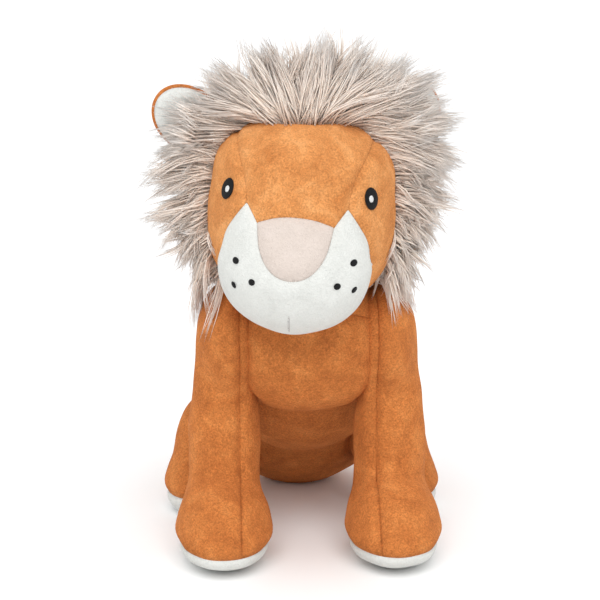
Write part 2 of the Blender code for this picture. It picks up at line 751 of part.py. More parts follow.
def make_embroidery(level):
    """Eyes, glints, whisker dots and the mouth, as pads that lie on the face."""
    under = cutter(level("stitch_under", SEAM_GAP))
    over = cutter(level("stitch_over", SEAM_GAP + STITCH_HEIGHT))
    glint_under = cutter(level("glint_under", 2 * SEAM_GAP + STITCH_HEIGHT))
    glint_over = cutter(level("glint_over", 2 * SEAM_GAP + STITCH_HEIGHT + GLINT_HEIGHT))
    dot_shares = {
        "left": [(0.80, 0.27), (0.61, -0.07), (0.83, -0.145)],
        "right": [(0.75, 0.19), (0.51, -0.09), (0.76, -0.19)],
    }
    for side, sign in SIDES.items():
        lean = -sign * EYE_LEANS[side]
        across, eye_height = sign * EYE_OUT, SKULL_HEIGHT + EYE_RISE
        eye = oval_bar(f"eye_bar_{side}", across, eye_height, SKULL_FORWARD, (EYE_WIDTH, EYE_LENGTH), lean)
        piece(f"eye_{side}", "head", eye, BLACK, keep=[over], drop=[under])
        glint_size = (GLINT_WIDTH, GLINT_LENGTH)
        glint = oval_bar(f"glint_bar_{side}", across, eye_height, SKULL_FORWARD, glint_size, lean)
        piece(f"eye_glint_{side}", "head", glint, WHITE, keep=[glint_over], drop=[glint_under])
        for number, (across, up) in enumerate(dot_shares[side], 1):
            x, z = sign * across * MUZZLE_HALF_WIDTH, MUZZLE_HEIGHT + up * MUZZLE_HALF_HEIGHT
            dot = oval_bar(f"dot_bar_{side}_{number}", x, z, MUZZLE_FORWARD, (DOT_SIZE, DOT_SIZE))
            piece(f"whisker_dot_{side}_{number}", "head", dot, BLACK, keep=[over], drop=[under])
    mouth_height = MUZZLE_HEIGHT - MOUTH_BELOW
    mouth = oval_bar("mouth_bar", 0, mouth_height, MUZZLE_FORWARD, (MOUTH_WIDTH, MOUTH_LENGTH))
    piece("mouth_stitch", "head", mouth, GREY, keep=[over], drop=[under])


def make_mane(level, inner, front):
    moves = [move.inverted() for move in HEAD_MOVES]
    torso_passes = swept(torso_field, moves)
    face_room = cut(cutter(level("face_room", SEAM_GAP)), keep=[front])
    drop = [face_room, inner, made_cutters["neck_room"]]
    drop.append(
        cutter(form("torso_passes", torso_passes, torso_frame, TORSO_SPINE, MANE_CLEARANCE, ROOM_MESH))
    )
    for body, leg in legs.items():
        if leg["front"]:
            leg_passes = swept(swept(leg["field"], leg["moves"]), moves)
            frame, spine = leg_frame(leg), leg_spine(leg)
            passes = form(f"{body}_passes", leg_passes, frame, spine, MANE_CLEARANCE, ROOM_MESH)
            drop.append(cutter(passes))
    for body, ear in ears.items():
        frame = ear["pose"] @ shift(0, 0, EAR_REACH)
        drop.append(cutter(form(f"{body}_room", ear["swept"], frame, 0.0, EAR_CLEARANCE, ROOM_MESH)))
    outer = form("mane_outside", mane_field, mane_frame, 0.0, 0.0, MANE_MESH)
    piece("mane", "head", outer, TAUPE, drop=drop)


def make_ear(body, ear):
    frame = ear["pose"] @ shift(0, 0, EAR_REACH)

    def field(points):
        return np.maximum(ear["field"](points), ROOT_CLEARANCE - ear["head"](points))

    outer = form(f"{body}_outside", field, frame, 0.0, 0.0, SMALL_MESH)
    lining_lobe = lobe(
        (0, -LINING_FORWARD, EAR_REACH), (LINING_HALF_WIDTH, LINING_HALF_THICKNESS, LINING_HALF_LENGTH)
    )
    lining_field = blend([lining_lobe], ear["pose"])
    lining_frame = ear["pose"] @ shift(0, -LINING_FORWARD, EAR_REACH)
    pocket = cutter(form(f"{body}_pocket", lining_field, lining_frame, 0.0, SEAM_GAP, SMALL_MESH))
    lining = form(f"{body}_lining", lining_field, lining_frame, 0.0, 0.0, SMALL_MESH)
    cup_place = ear["pose"] @ Vector((0, -EAR_HALF_THICKNESS - EAR_CUP_RADIUS + EAR_CUP_DEPTH, EAR_REACH))
    cup = cutter(ball(f"{body}_cup", cup_place, EAR_CUP_RADIUS))
    piece(f"{body}_back", body, outer, ORANGE, drop=[pocket])
    piece(f"{body}_lining", body, lining, WHITE, drop=[cup])


def make_tail():
    frame = shift(*(TAIL + tail_way * TAIL_HALF_LENGTH)) @ Matrix.Rotation(TAIL_SLOPE, 4, "X")
    spine = TAIL_HALF_LENGTH - TAIL_RADIUS
    outer = form("tail_outside", tail_field, frame, spine, 0.0, SMALL_MESH)
    inner = cutter(form("tail_inside", tail_field, frame, spine, -FABRIC, SMALL_MESH))
    core = form("tail_filling", tail_field, frame, spine, -FABRIC - SEAM_GAP, SMALL_MESH)
    around = cutter(form("tail_room_in_tuft", tail_field, frame, spine, SEAM_GAP, SMALL_MESH))
    tuft_frame = shift(*tuft_place) @ Matrix.Rotation(TAIL_SLOPE, 4, "X")
    tuft = form("tuft_outside", tuft_field, tuft_frame, 0.0, 0.0, SMALL_MESH)
    piece("tail_tuft", "tail", tuft, TAUPE, drop=[around])
    mouth = cutter(ball("tail_mouth", TAIL - tail_way * TAIL_RADIUS, TAIL_RADIUS - FABRIC))
    piece("tail_cover", "tail", outer, ORANGE, drop=[inner, mouth])
    piece("tail_stuffing", "tail", core, FILLING)


def make_neck():
    piece("neck_stuffing", "neck", ball("neck_ball", NECK, NECK_RADIUS), ORANGE)


make_torso()
make_neck()
for body, leg in legs.items():
    make_leg(body, leg)
make_head()
for body, ear in ears.items():
    make_ear(body, ear)
make_tail()
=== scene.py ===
# %% [markdown]
# # A plush lion, dressed for its picture
# The imported model gives the lion's forms, joints and sizes as plain solids. This lesson dresses them: sewn
# plush panels over the body, an embroidered face, and a long fur mane. First the frame is loaded, and
# the box of the plain solids is kept, so that the dressed lion's box can be printed beside it at the end.

# %% Load the frame
import json
import math

import bmesh
import bpy
import numpy as np
from mathutils import Matrix, Vector, noise
from mathutils.kdtree import KDTree


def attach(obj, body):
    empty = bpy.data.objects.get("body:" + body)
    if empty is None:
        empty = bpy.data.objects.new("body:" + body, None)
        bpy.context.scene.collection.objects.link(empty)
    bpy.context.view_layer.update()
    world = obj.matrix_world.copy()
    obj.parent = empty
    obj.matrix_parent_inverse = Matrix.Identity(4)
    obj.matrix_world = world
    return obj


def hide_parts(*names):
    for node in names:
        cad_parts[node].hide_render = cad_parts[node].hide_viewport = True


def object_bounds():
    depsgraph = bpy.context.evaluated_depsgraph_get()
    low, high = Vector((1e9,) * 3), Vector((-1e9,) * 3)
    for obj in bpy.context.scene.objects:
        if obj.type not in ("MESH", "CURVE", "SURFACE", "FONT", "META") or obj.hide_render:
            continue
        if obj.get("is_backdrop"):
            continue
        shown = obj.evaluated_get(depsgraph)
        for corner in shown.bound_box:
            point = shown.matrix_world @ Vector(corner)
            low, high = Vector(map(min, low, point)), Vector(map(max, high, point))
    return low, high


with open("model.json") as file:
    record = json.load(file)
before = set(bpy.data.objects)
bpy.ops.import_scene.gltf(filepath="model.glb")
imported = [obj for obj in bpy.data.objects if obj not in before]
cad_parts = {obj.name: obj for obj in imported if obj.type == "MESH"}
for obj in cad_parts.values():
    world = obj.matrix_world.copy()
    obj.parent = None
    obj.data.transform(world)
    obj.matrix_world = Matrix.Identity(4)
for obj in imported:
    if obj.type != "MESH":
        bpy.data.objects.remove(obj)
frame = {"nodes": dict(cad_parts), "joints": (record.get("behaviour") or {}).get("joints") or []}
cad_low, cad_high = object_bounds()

pivots = {joint["child"]: Vector(joint["pos_m"]) for joint in frame["joints"]}
neck = pivots["neck"]
print("solids", len(frame["nodes"]), "box", [round(x, 3) for x in cad_high - cad_low])

# %% [markdown]
# ## Forms as fields
# A stuffed body has no edges: each part swells and runs into the next. Such forms could be sculpted by
# hand, or made with metaballs. Here each is a few ellipsoid lobes, and a small function gives how far any
# point lies outside their rounded union. A mesh can then be drawn on to the form at any fineness, and
# seams can be found as the places where two such functions meet. A form can also keep room for another one
# that moves.

# %% Lobes and their rounded union
TINY = 1e-9
SOFT_ROUNDING, FINE_ROUNDING, ROOM_ROUNDING = 0.004, 0.001, 0.0015


def lobe(centre, half_sizes, tilt=0.0):
    return np.array(centre), np.array(half_sizes), np.array(Matrix.Rotation(tilt, 3, "X"))


def moved(points, matrix):
    return points @ np.array(matrix.to_3x3()).T + np.array(matrix.translation)


def lobe_distance(points, centre, half_sizes, turned):
    local = (points - centre) @ turned
    reach = np.linalg.norm(local / half_sizes, axis=1)
    slope = np.linalg.norm(local / half_sizes**2, axis=1)
    return reach * (reach - 1) / np.maximum(slope, TINY)


def blend(lobes, pose, rounding=SOFT_ROUNDING):
    back = pose.inverted()

    def field(points):
        own = moved(points, back)
        return -rounding * np.log(sum(np.exp(-lobe_distance(own, *one) / rounding) for one in lobes))

    return field


def rested(field):
    return lambda points: np.maximum(field(points), -points[:, 2])


def together(*fields):
    return lambda points: np.min([field(points) for field in fields], axis=0)


def hollowed(field, room):
    """A form with room left in it, the edges of the room softened."""
    return lambda points: ROOM_ROUNDING * np.logaddexp(
        field(points) / ROOM_ROUNDING, -room(points) / ROOM_ROUNDING
    )


def shift(*place):
    return Matrix.Translation(Vector(place))


print("ready: lobes, unions and rooms")

# %% [markdown]
# The sizes below are those of the solids, in metres. Places along Y are counted from the neck joint, so
# `base` carries them into the frame. The tail lies in a hollow of the torso, which has room for it at every
# angle of its joint. The head has a pose of its own: it is tipped, and turned on the neck.

# %% The lion's forms
base = shift(0, neck.y, 0)
sides = {"left": 1, "right": -1}
TAIL_SLOPE, TAIL_RADIUS, TAIL_HALF_LENGTH, TAIL_DOWN = math.radians(38), 0.0072, 0.0332, 0.026
TAIL_STOPS = 9
tail_pivot = pivots["tail"]
tail_way = Matrix.Rotation(TAIL_SLOPE, 3, "X") @ Vector((0, 0, -1))
tail_middle = tail_pivot + tail_way * TAIL_DOWN
still = Matrix.Identity(4)
tail_field = together(
    blend([lobe(tail_pivot, (TAIL_RADIUS, TAIL_RADIUS, TAIL_RADIUS))], still),
    blend([lobe(tail_middle, (TAIL_RADIUS, TAIL_RADIUS, TAIL_HALF_LENGTH), TAIL_SLOPE)], still),
)
tail_range = next(joint["range_deg"] for joint in frame["joints"] if joint["child"] == "tail")
tail_places = []
for turn in np.linspace(*tail_range, TAIL_STOPS):
    swung = shift(*tail_pivot) @ Matrix.Rotation(math.radians(-turn), 4, "Y") @ shift(*-tail_pivot)
    tail_places.append(lambda points, swung=swung: tail_field(moved(points, swung)))

BELLY_MIDDLE, BELLY_TILT, SEAT_TILT = (0, 0.056, 0.080), math.radians(-35), math.radians(-40)
torso_lobes = [
    lobe((0, 0.005, 0.116), (0.050, 0.036, 0.040)),
    lobe(BELLY_MIDDLE, (0.046, 0.050, 0.039), BELLY_TILT),
    lobe((0, 0.110, 0.0429), (0.047, 0.058, 0.036), SEAT_TILT),
]
torso_field = hollowed(rested(blend(torso_lobes, base)), together(*tail_places))

leg_fields, leg_roots = {}, {}
for side, sign in sides.items():
    legs = {
        "front": [
            lobe((sign * 0.042, 0.004, 0.117), (0.017, 0.031, 0.031)),
            lobe((sign * 0.045, 0.001, 0.0585), (0.0195, 0.019, 0.0585)),
            lobe((sign * 0.0455, -0.018, 0.0224), (0.024, 0.031, 0.022)),
            lobe((sign * 0.0455, -0.027, 0.0134), (0.0225, 0.033, 0.013)),
        ],
        "hind": [
            lobe((sign * 0.044, 0.090, 0.044), (0.017, 0.027, 0.027)),
            lobe((sign * 0.054, 0.078, 0.036), (0.019, 0.020, 0.028)),
            lobe((sign * 0.060, 0.066, 0.0157), (0.019, 0.024, 0.0205)),
        ],
    }
    for end, lobes in legs.items():
        body = f"{end}_leg_{side}"
        leg_fields[body], leg_roots[body] = rested(blend(lobes, base)), blend(lobes[:1], base)

HEAD_TURN, TURN_HEIGHT = math.radians(-6.5), 0.150
HEAD_TIP, TIP_HEIGHT = math.radians(3.5), 0.215
head_pose = (
    base
    @ shift(0, 0, TURN_HEIGHT) @ Matrix.Rotation(HEAD_TURN, 4, "Z") @ shift(0, 0, -TURN_HEIGHT)
    @ shift(0, 0, TIP_HEIGHT) @ Matrix.Rotation(HEAD_TIP, 4, "Y") @ shift(0, 0, -TIP_HEIGHT)
)
skull = Vector((0, -0.017, 0.190))
head_field = blend(
    [
        lobe(skull, (0.048, 0.049, 0.0433)),
        lobe((0, -0.018, 0.2125), (0.0455, 0.044, 0.0262)),
        lobe((0, -0.018, 0.1705), (0.0453, 0.036, 0.0316)),
        lobe((0, -0.050, 0.164), (0.038, 0.029, 0.033)),
    ],
    head_pose,
)
mane_middle = np.array([-0.0008, 0.003, 0.197])
mane_lobes = [lobe(mane_middle, (0.085, 0.040, 0.081)), lobe((0, 0.028, 0.188), (0.062, 0.042, 0.060))]
mane_field = blend(mane_lobes, head_pose)
print("forms: torso, tail, head, mane and", ", ".join(leg_fields))

# %% [markdown]
# ## Drawing a mesh on to a form
# A cube that is cut into a fine grid and blown up to a ball has even faces and no poles, which suits cloth
# better than a globe's rows do. Each of its points is sent out along a ray until the field is reached.

# %% Balls, rays and skins
TRACE_START, TRACE_STEPS, TRACE_SHARE = 1e-6, 70, 0.6
SLOPE_STEP = 2e-5


def quad_ball(cuts):
    shape = bmesh.new()
    bmesh.ops.create_cube(shape, size=2)
    bmesh.ops.subdivide_edges(shape, edges=shape.edges, cuts=cuts, use_grid_fill=True)
    for point in shape.verts:
        point.co = Vector([math.tan(value * math.pi / 4) for value in point.co]).normalized()
    return shape


def places(shape):
    return np.array([point.co for point in shape.verts])


def put(shape, found):
    for point, place in zip(shape.verts, found):
        point.co = place


def traced(field, starts, ways, level=0.0):
    """The places where rays from some starts reach one level of a field."""
    reach = np.full(len(starts), TRACE_START)
    for _ in range(TRACE_STEPS):
        reach += (level - field(starts + ways * reach[:, None])) * TRACE_SHARE
    return starts + ways * reach[:, None]


def slopes(field, points):
    """The direction in which a field grows, at each point."""
    found = [field(points + offset) - field(points - offset) for offset in np.eye(3) * SLOPE_STEP]
    found = np.stack(found, axis=1) / (2 * SLOPE_STEP)
    return found / np.maximum(np.linalg.norm(found, axis=1), TINY)[:, None]


def skin(field, frame_at, spine, cuts):
    """A closed grid of faces on a form, drawn from a spine inside it."""
    shape = quad_ball(cuts)
    unit = places(shape)
    starts = moved(np.outer(unit[:, 2] * spine, (0, 0, 1)), frame_at)
    put(shape, traced(field, starts, unit @ np.array(frame_at.to_3x3()).T))
    return shape


print("ready: balls, rays and skins")

# %% [markdown]
# ## Sewing
# Real plush is cut flat and sewn inside out, so a seam is a narrow valley where two edges turn in, and the
# cloth swells between seams. Each skin here gets a label for every face. Where two labels meet, the grid's
# points slide on to the exact line of the higher label's seam. The skin is then pulled in along the seams
# and given a few soft lumps of stuffing before the panels are taken apart into pieces of their own.

# %% Seams, lumps and panels
SEAM_DEPTH, SEAM_WIDTH = 0.0011, 0.0022
SWELL_SHARE, SWELL_AWAY, SWELL_WIDTH = 0.6, 2.6 * SEAM_WIDTH, 1.6 * SEAM_WIDTH
LUMP_SIZE, LUMP_HEIGHT = 0.016, 0.0007
FLOOR_CALM = 0.004
SLIDES, EASE_ROUNDS, EASE_SHARE = 6, 3, 0.5
CLOTH = 0.0011
LEFT_OUT = 9


def slide_to_seams(shape, labels, field, seams):
    """Slides the points between two labels on to the seams of the higher one, and gives their numbers."""
    shape.verts.ensure_lookup_table()
    shape.verts.index_update()
    shape.faces.index_update()
    wanted = {}
    for edge in shape.edges:
        one, two = (labels[face.index] for face in edge.link_faces)
        if one != two:
            for point in edge.verts:
                wanted.setdefault(point.index, tuple(sorted((one, two))))
    found = places(shape)
    for pair in sorted(set(wanted.values())):
        rows = np.array(sorted(index for index, own in wanted.items() if own == pair))
        near = np.argmin([np.abs(one(found[rows])) for one in seams[pair[1]]], axis=0)
        for number, one in enumerate(seams[pair[1]]):
            some = rows[near == number]
            if len(some) == 0:
                continue
            at = found[some]
            for _ in range(SLIDES):
                way = slopes(one, at)
                at = at - way * one(at)[:, None]
                at = at - slopes(field, at) * field(at)[:, None]
            found[some] = at
    put(shape, found)
    return sorted(wanted)


def ease(shape, fixed, field, rounds):
    """Evens out the grid beside the seams, and lays it back on the form."""
    held = set(fixed)
    near = {other for index in fixed for edge in shape.verts[index].link_edges for other in edge.verts}
    near |= {other for point in list(near) for edge in point.link_edges for other in edge.verts}
    loose = [point for point in near if point.index not in held]
    axes = {f"use_axis_{axis}": True for axis in "xyz"}
    for _ in range(rounds):
        bmesh.ops.smooth_vert(shape, verts=loose, factor=EASE_SHARE, **axes)
    rows = [point.index for point in loose]
    found = places(shape)
    at = found[rows]
    found[rows] = at - slopes(field, at) * field(at)[:, None]
    put(shape, found)


def valleys(shape, fixed, field, depth=SEAM_DEPTH, lump=LUMP_HEIGHT, seed=0.0, touching=None):
    """Pulls the skin in along its seams and where it touches another, and lets the stuffing lift it."""
    tree = KDTree(len(fixed))
    shape.verts.ensure_lookup_table()
    for index in fixed:
        tree.insert(shape.verts[index].co, index)
    tree.balance()
    found = places(shape)
    away = np.array([tree.find(place)[2] for place in found])
    if touching:
        away = np.minimum(away, np.abs(touching(found)))
    lumps = np.array([noise.noise(Vector(place) / LUMP_SIZE + Vector((seed, 0, 0))) for place in found])
    pulled = depth * np.exp(-((away / SEAM_WIDTH) ** 2))
    swell = depth * SWELL_SHARE * np.exp(-(((away - SWELL_AWAY) / SWELL_WIDTH) ** 2))
    stands = np.clip(found[:, 2] / FLOOR_CALM, 0, 1)
    found += slopes(field, found) * ((lump * lumps + swell) * stands - pulled)[:, None]
    found[:, 2] = np.maximum(found[:, 2], 0)
    put(shape, found)


def sewn(shape, field, label, seams, rounds=EASE_ROUNDS, **valley_sizes):
    """Labels a skin's faces, lays its seams and pads it. Gives the labels."""
    labels = label(np.array([face.calc_center_median() for face in shape.faces]))
    fixed = slide_to_seams(shape, labels, field, seams)
    ease(shape, fixed, field, rounds)
    valleys(shape, fixed, field, **valley_sizes)
    return labels


def placed(name, data):
    made = bpy.data.objects.new(name, data)
    bpy.context.scene.collection.objects.link(made)
    return made


def finished(name, shape, body, material, slot, replaced, thick=0.0):
    """Makes a shape the object's piece, in place, with its material, hangs it on its body and hides the
    solids it replaces.
    """
    mesh = bpy.data.meshes.new(name)
    shape.to_mesh(mesh)
    shape.free()
    mesh.shade_smooth()
    piece = placed(name, mesh)
    mesh.materials.append(material)
    if thick:
        wall = piece.modifiers.new("cloth", "SOLIDIFY")
        wall.thickness, wall.offset, wall.use_rim = thick, -1, True
    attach(piece, body)
    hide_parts(*replaced)
    return piece


def panels(shape, labels, made):
    """Takes a labelled skin apart. `made` gives each label's name, body, material, slot and solids."""
    found = {}
    for number, (name, body, material, slot, replaced) in made.items():
        part = shape.copy()
        part.faces.ensure_lookup_table()
        others = [part.faces[index] for index in np.flatnonzero(labels != number)]
        bmesh.ops.delete(part, geom=others, context="FACES")
        found[name] = finished(name, part, body, material, slot, replaced, CLOTH)
    shape.free()
    return found


print("ready: seams, lumps and panels")

# %% [markdown]
# ## Plush and thread
# Short-pile plush has no single colour. The pile lies one way here and another there, so it reads lighter
# and darker in patches about a centimetre wide, with a finer grain over them, and its edges glow a little.
# The pattern comes from noise on the object's own coordinates, so it stays put when the lion moves.

# %% Materials
SHEEN_ROUGHNESS, SPECULAR = 0.5, 0.2
WHITE = (1, 1, 1, 1)


def material_of(name, roughness, sheen, sheen_tint=WHITE):
    made = bpy.data.materials.new(name)
    made.use_nodes = True
    surface = made.node_tree.nodes["Principled BSDF"]
    surface.inputs["Roughness"].default_value = roughness
    surface.inputs["Sheen Weight"].default_value = sheen
    surface.inputs["Sheen Roughness"].default_value = SHEEN_ROUGHNESS
    surface.inputs["Sheen Tint"].default_value = sheen_tint
    surface.inputs["Specular IOR Level"].default_value = SPECULAR
    return made, made.node_tree.nodes, made.node_tree.links, surface


def noise_at(nodes, links, source, **settings):
    made = nodes.new("ShaderNodeTexNoise")
    for socket, value in settings.items():
        made.inputs[socket].default_value = value
    links.new(source, made.inputs["Vector"])
    return made.outputs["Fac"]


def ramp_of(nodes, links, source, stops):
    made = nodes.new("ShaderNodeValToRGB")
    while len(made.color_ramp.elements) < len(stops):
        made.color_ramp.elements.new(0.5)
    for element, (place, colour) in zip(made.color_ramp.elements, stops):
        element.position = place
        element.color = (*colour, 1)
    links.new(source, made.inputs["Fac"])
    return made.outputs["Color"]


def grey(value):
    return value, value, value


def multiplied(nodes, links, one, two):
    made = nodes.new("ShaderNodeMix")
    made.data_type, made.blend_type = "RGBA", "MULTIPLY"
    sockets = {each.name: each for each in made.inputs if each.enabled}
    sockets["Factor"].default_value = 1.0
    links.new(one, sockets["A"])
    links.new(two, sockets["B"])
    return next(each for each in made.outputs if each.enabled)


def bumped(nodes, links, height, strength, distance, surface):
    made = nodes.new("ShaderNodeBump")
    made.inputs["Strength"].default_value = strength
    made.inputs["Distance"].default_value = distance
    links.new(height, made.inputs["Height"])
    links.new(made.outputs["Normal"], surface.inputs["Normal"])


PATCH_SCALE, TUFT_SCALE, CURL_SCALE = 75, 1100, 418
PILE_ROUGHNESS, PILE_BUMP, PILE_HEIGHT = 0.92, 0.6, 0.0011


def plush(name, shades, grain, sheen):
    """Short-pile plush: three shades from pile pressed down to pile that stands, and the grain over them."""
    pressed, usual, raised = shades
    made, nodes, links, surface = material_of(name, PILE_ROUGHNESS, sheen, (*raised, 1))
    own = nodes.new("ShaderNodeTexCoord").outputs["Object"]
    patch = noise_at(nodes, links, own, Scale=PATCH_SCALE, Detail=4.0, Roughness=0.62, Distortion=0.6)
    tufts = noise_at(nodes, links, own, Scale=TUFT_SCALE, Detail=3.0, Roughness=0.7, Distortion=0.0)
    curls = noise_at(nodes, links, own, Scale=CURL_SCALE, Detail=2.0, Roughness=0.6, Distortion=1.4)
    colour = ramp_of(nodes, links, patch, [(0.30, pressed), (0.52, usual), (0.72, raised)])
    for grains, low, dark, high, light in ((tufts, 0.32, 1, 0.66, 0.5), (curls, 0.36, 0.3, 0.64, 0.3)):
        stops = [(low, grey(1 - grain * dark)), (high, grey(1 + grain * light))]
        colour = multiplied(nodes, links, colour, ramp_of(nodes, links, grains, stops))
    links.new(colour, surface.inputs["Base Color"])
    height = nodes.new("ShaderNodeMath")
    links.new(tufts, height.inputs[0])
    links.new(curls, height.inputs[1])
    bumped(nodes, links, height.outputs["Value"], PILE_BUMP, PILE_HEIGHT, surface)
    return made


body_shades = [(0.46, 0.140, 0.033), (0.56, 0.183, 0.045), (0.66, 0.240, 0.065)]
# The face's orange is a lighter, yellower copy of the body's: painted light, for the stronger light that
# falls on the forehead and cheeks from above and in front.
lit_face_shades = [(0.55, 0.200, 0.055), (0.68, 0.280, 0.088), (0.80, 0.370, 0.135)]
white_shades = [(0.66, 0.67, 0.64), (0.70, 0.71, 0.68), (0.74, 0.75, 0.72)]
pink_shades = [(0.63, 0.545, 0.49), (0.66, 0.575, 0.52), (0.69, 0.60, 0.55)]
orange = plush("orange_plush", body_shades, grain=0.34, sheen=0.30)
lit_face_orange = plush("lit_face_plush", lit_face_shades, grain=0.30, sheen=0.35)
white = plush("white_plush", white_shades, grain=0.06, sheen=0.2)
pink = plush("pink_plush", pink_shades, grain=0.05, sheen=0.2)

THREAD_SCALE, THREAD_SWAY, THREAD_SHADE = 900, 1.5, 0.6
THREAD_BUMP, THREAD_HEIGHT = 0.5, 0.0003


def thread(name, colour, roughness):
    """Satin stitch: fine parallel threads that catch the light, with painted shade in the darker bands
    between them.
    """
    made, nodes, links, surface = material_of(name, roughness, 0.0)
    own = nodes.new("ShaderNodeTexCoord").outputs["Object"]
    wave = nodes.new("ShaderNodeTexWave")
    wave.bands_direction = "DIAGONAL"
    wave.inputs["Scale"].default_value = THREAD_SCALE
    wave.inputs["Distortion"].default_value = THREAD_SWAY
    links.new(own, wave.inputs["Vector"])
    # The darker bands of the wave are painted shade between the threads.
    dark = tuple(value * THREAD_SHADE for value in colour)
    shade = ramp_of(nodes, links, wave.outputs["Fac"], [(0.0, dark), (0.6, colour)])
    links.new(shade, surface.inputs["Base Color"])
    bumped(nodes, links, wave.outputs["Fac"], THREAD_BUMP, THREAD_HEIGHT, surface)
    return made


black_thread = thread("black_thread", (0.006, 0.006, 0.007), 0.6)
white_thread = thread("white_thread", (0.85, 0.85, 0.84), 0.5)
grey_thread = thread("grey_thread", (0.60, 0.59, 0.57), 0.7)


def fur_of(name, root, body, tip):
    """Long fur: darker at the roots, painted shade between the locks, light at the tips, and every lock a
    little different.
    """
    made, nodes, links, surface = material_of(name, roughness=0.62, sheen=0.25)
    surface.inputs["Subsurface Weight"].default_value = 0.6
    surface.inputs["Subsurface Radius"].default_value = (1.0, 0.9, 0.85)
    surface.inputs["Subsurface Scale"].default_value = 0.0015
    ramps = {
        # 'along' runs from root to tip: the darker root colour is painted shade between the locks.
        "along": [(0.0, root), (0.45, body), (1.0, tip)],
        "tone": [(0.0, (0.88, 0.84, 0.82)), (0.5, grey(0.97)), (1.0, grey(1.06))],
    }
    colours = []
    for label, stops in ramps.items():
        read = nodes.new("ShaderNodeAttribute")
        read.attribute_name = label
        colours.append(ramp_of(nodes, links, read.outputs["Fac"], stops))
    links.new(multiplied(nodes, links, *colours), surface.inputs["Base Color"])
    return made


fur = fur_of("taupe_fur", (0.86, 0.68, 0.56), (0.95, 0.775, 0.65), (0.98, 0.855, 0.755))
print("materials", len(bpy.data.materials))

# %% [markdown]
# ## The body
# The torso is three panels: two sides that meet along the back, and one panel that runs from the chest
# down under the belly to the seat. The legs and the head are sewn into openings in it. Each leg swings
# about a round root, so the faces inside the root are left out, and the rest of the torso stays closed
# behind the leg. A valley runs along the line where the two touch.

# %% Torso panels
OPENING, NECK_OPENING, CHEST_SEAM = -0.001, 0.012, 0.037
TORSO_SPINE, TORSO_CUTS = 0.054, 68
belly_frame = base @ shift(*BELLY_MIDDLE) @ Matrix.Rotation(BELLY_TILT, 4, "X")
belly_back = belly_frame.inverted()
limits = together(*leg_roots.values(), lambda points: head_field(points) + NECK_OPENING)
touching = together(*leg_fields.values(), head_field)


def torso_labels(middles):
    own = moved(middles, belly_back)
    found = np.where(middles[:, 0] > 0, 0, 1)
    found[(np.abs(middles[:, 0]) < CHEST_SEAM) & (own[:, 2] < 0)] = 2
    found[limits(middles) < OPENING] = LEFT_OUT
    return found


torso_seams = {
    1: [lambda points: points[:, 0]],
    2: [
        lambda points: points[:, 0] - CHEST_SEAM,
        lambda points: points[:, 0] + CHEST_SEAM,
        lambda points: moved(points, belly_back)[:, 2],
    ],
    LEFT_OUT: [lambda points: limits(points) - OPENING],
}
torso_frame = base @ shift(*BELLY_MIDDLE) @ Matrix.Rotation(math.pi / 2 + BELLY_TILT, 4, "X")
torso = skin(torso_field, torso_frame, TORSO_SPINE, TORSO_CUTS)
torso_marks = sewn(torso, torso_field, torso_labels, torso_seams, touching=touching)
made = {
    0: ("torso_side_left_plush", "torso", orange, "orange_plush", ["torso_side_left", "torso_stuffing"]),
    1: ("torso_side_right_plush", "torso", orange, "orange_plush", ["torso_side_right"]),
    2: ("chest_belly_plush", "torso", orange, "orange_plush", ["chest_belly_panel"]),
}
torso_panels = panels(torso, torso_marks, made)
print("torso", {name: len(piece.data.polygons) for name, piece in torso_panels.items()})

# %% [markdown]
# ## The neck
# Under the mane a small closed ball of plush joins the head to the body.

# %% Neck
NECK_RADIUS, NECK_CUTS = 0.0255, 14
neck_shape = quad_ball(NECK_CUTS)
bmesh.ops.scale(neck_shape, vec=[NECK_RADIUS] * 3, verts=neck_shape.verts)
bmesh.ops.translate(neck_shape, vec=neck, verts=neck_shape.verts)
neck_plush = finished("neck_plush", neck_shape, "neck", orange, "orange_plush", ["neck_stuffing"])
print("neck", len(neck_plush.data.polygons), "faces")

# %% [markdown]
# ## The legs
# Each leg is a tube of two panels, joined by seams down its front and back, and closed underneath by a
# white sole. The front seam is easy to see in the photograph, running from the shoulder to the toe.

# %% Legs
SOLE_HEIGHT = 0.012
LEG_SEAMS = {"front": 0.036, "hind": 0.054}
LEG_MIDDLES = {"front": (0.045, 0.001, 0.0585), "hind": (0.054, 0.078, 0.036)}
LEG_SPINES = {"front": 0.036, "hind": 0.0}
LEG_CUTS = {"front": 54, "hind": 40}
FIRST_LEG_SEED = 3.0
leg_pieces = {}
for number, (body, field) in enumerate(leg_fields.items()):
    end, side = body.split("_leg_")
    sign = sides[side]
    seam_at = sign * LEG_SEAMS[end]
    across, back, up = LEG_MIDDLES[end]
    frame_at = base @ shift(sign * across, back, up)

    def leg_labels(middles):
        found = np.where((middles[:, 0] - seam_at) * sign > 0, 0, 1)
        found[middles[:, 2] < SOLE_HEIGHT] = 2
        return found

    seams = {1: [lambda points: points[:, 0] - seam_at], 2: [lambda points: points[:, 2] - SOLE_HEIGHT]}
    leg = skin(field, frame_at, LEG_SPINES[end], LEG_CUTS[end])
    marks = sewn(leg, field, leg_labels, seams, seed=FIRST_LEG_SEED + number)
    made = {
        0: (f"{body}_outer_plush", body, orange, "orange_plush", [f"{body}_outer_panel", f"{body}_stuffing"]),
        1: (f"{body}_inner_plush", body, orange, "orange_plush", [f"{body}_inner_panel"]),
        2: (f"{body}_sole_plush", body, white, "white_plush", [f"{body}_sole"]),
    }
    leg_pieces.update(panels(leg, marks, made))
print("legs", len(leg_pieces), "pieces")

# %% [markdown]
# ## The face
# The face is sewn from curved panels: a forehead between two cheeks, a white muzzle that rises to a point
# beside each eye, and a pale pink nose patch let into it. Each seam is drawn as an outline seen from the
# front, across and up, and carried back on to the head.

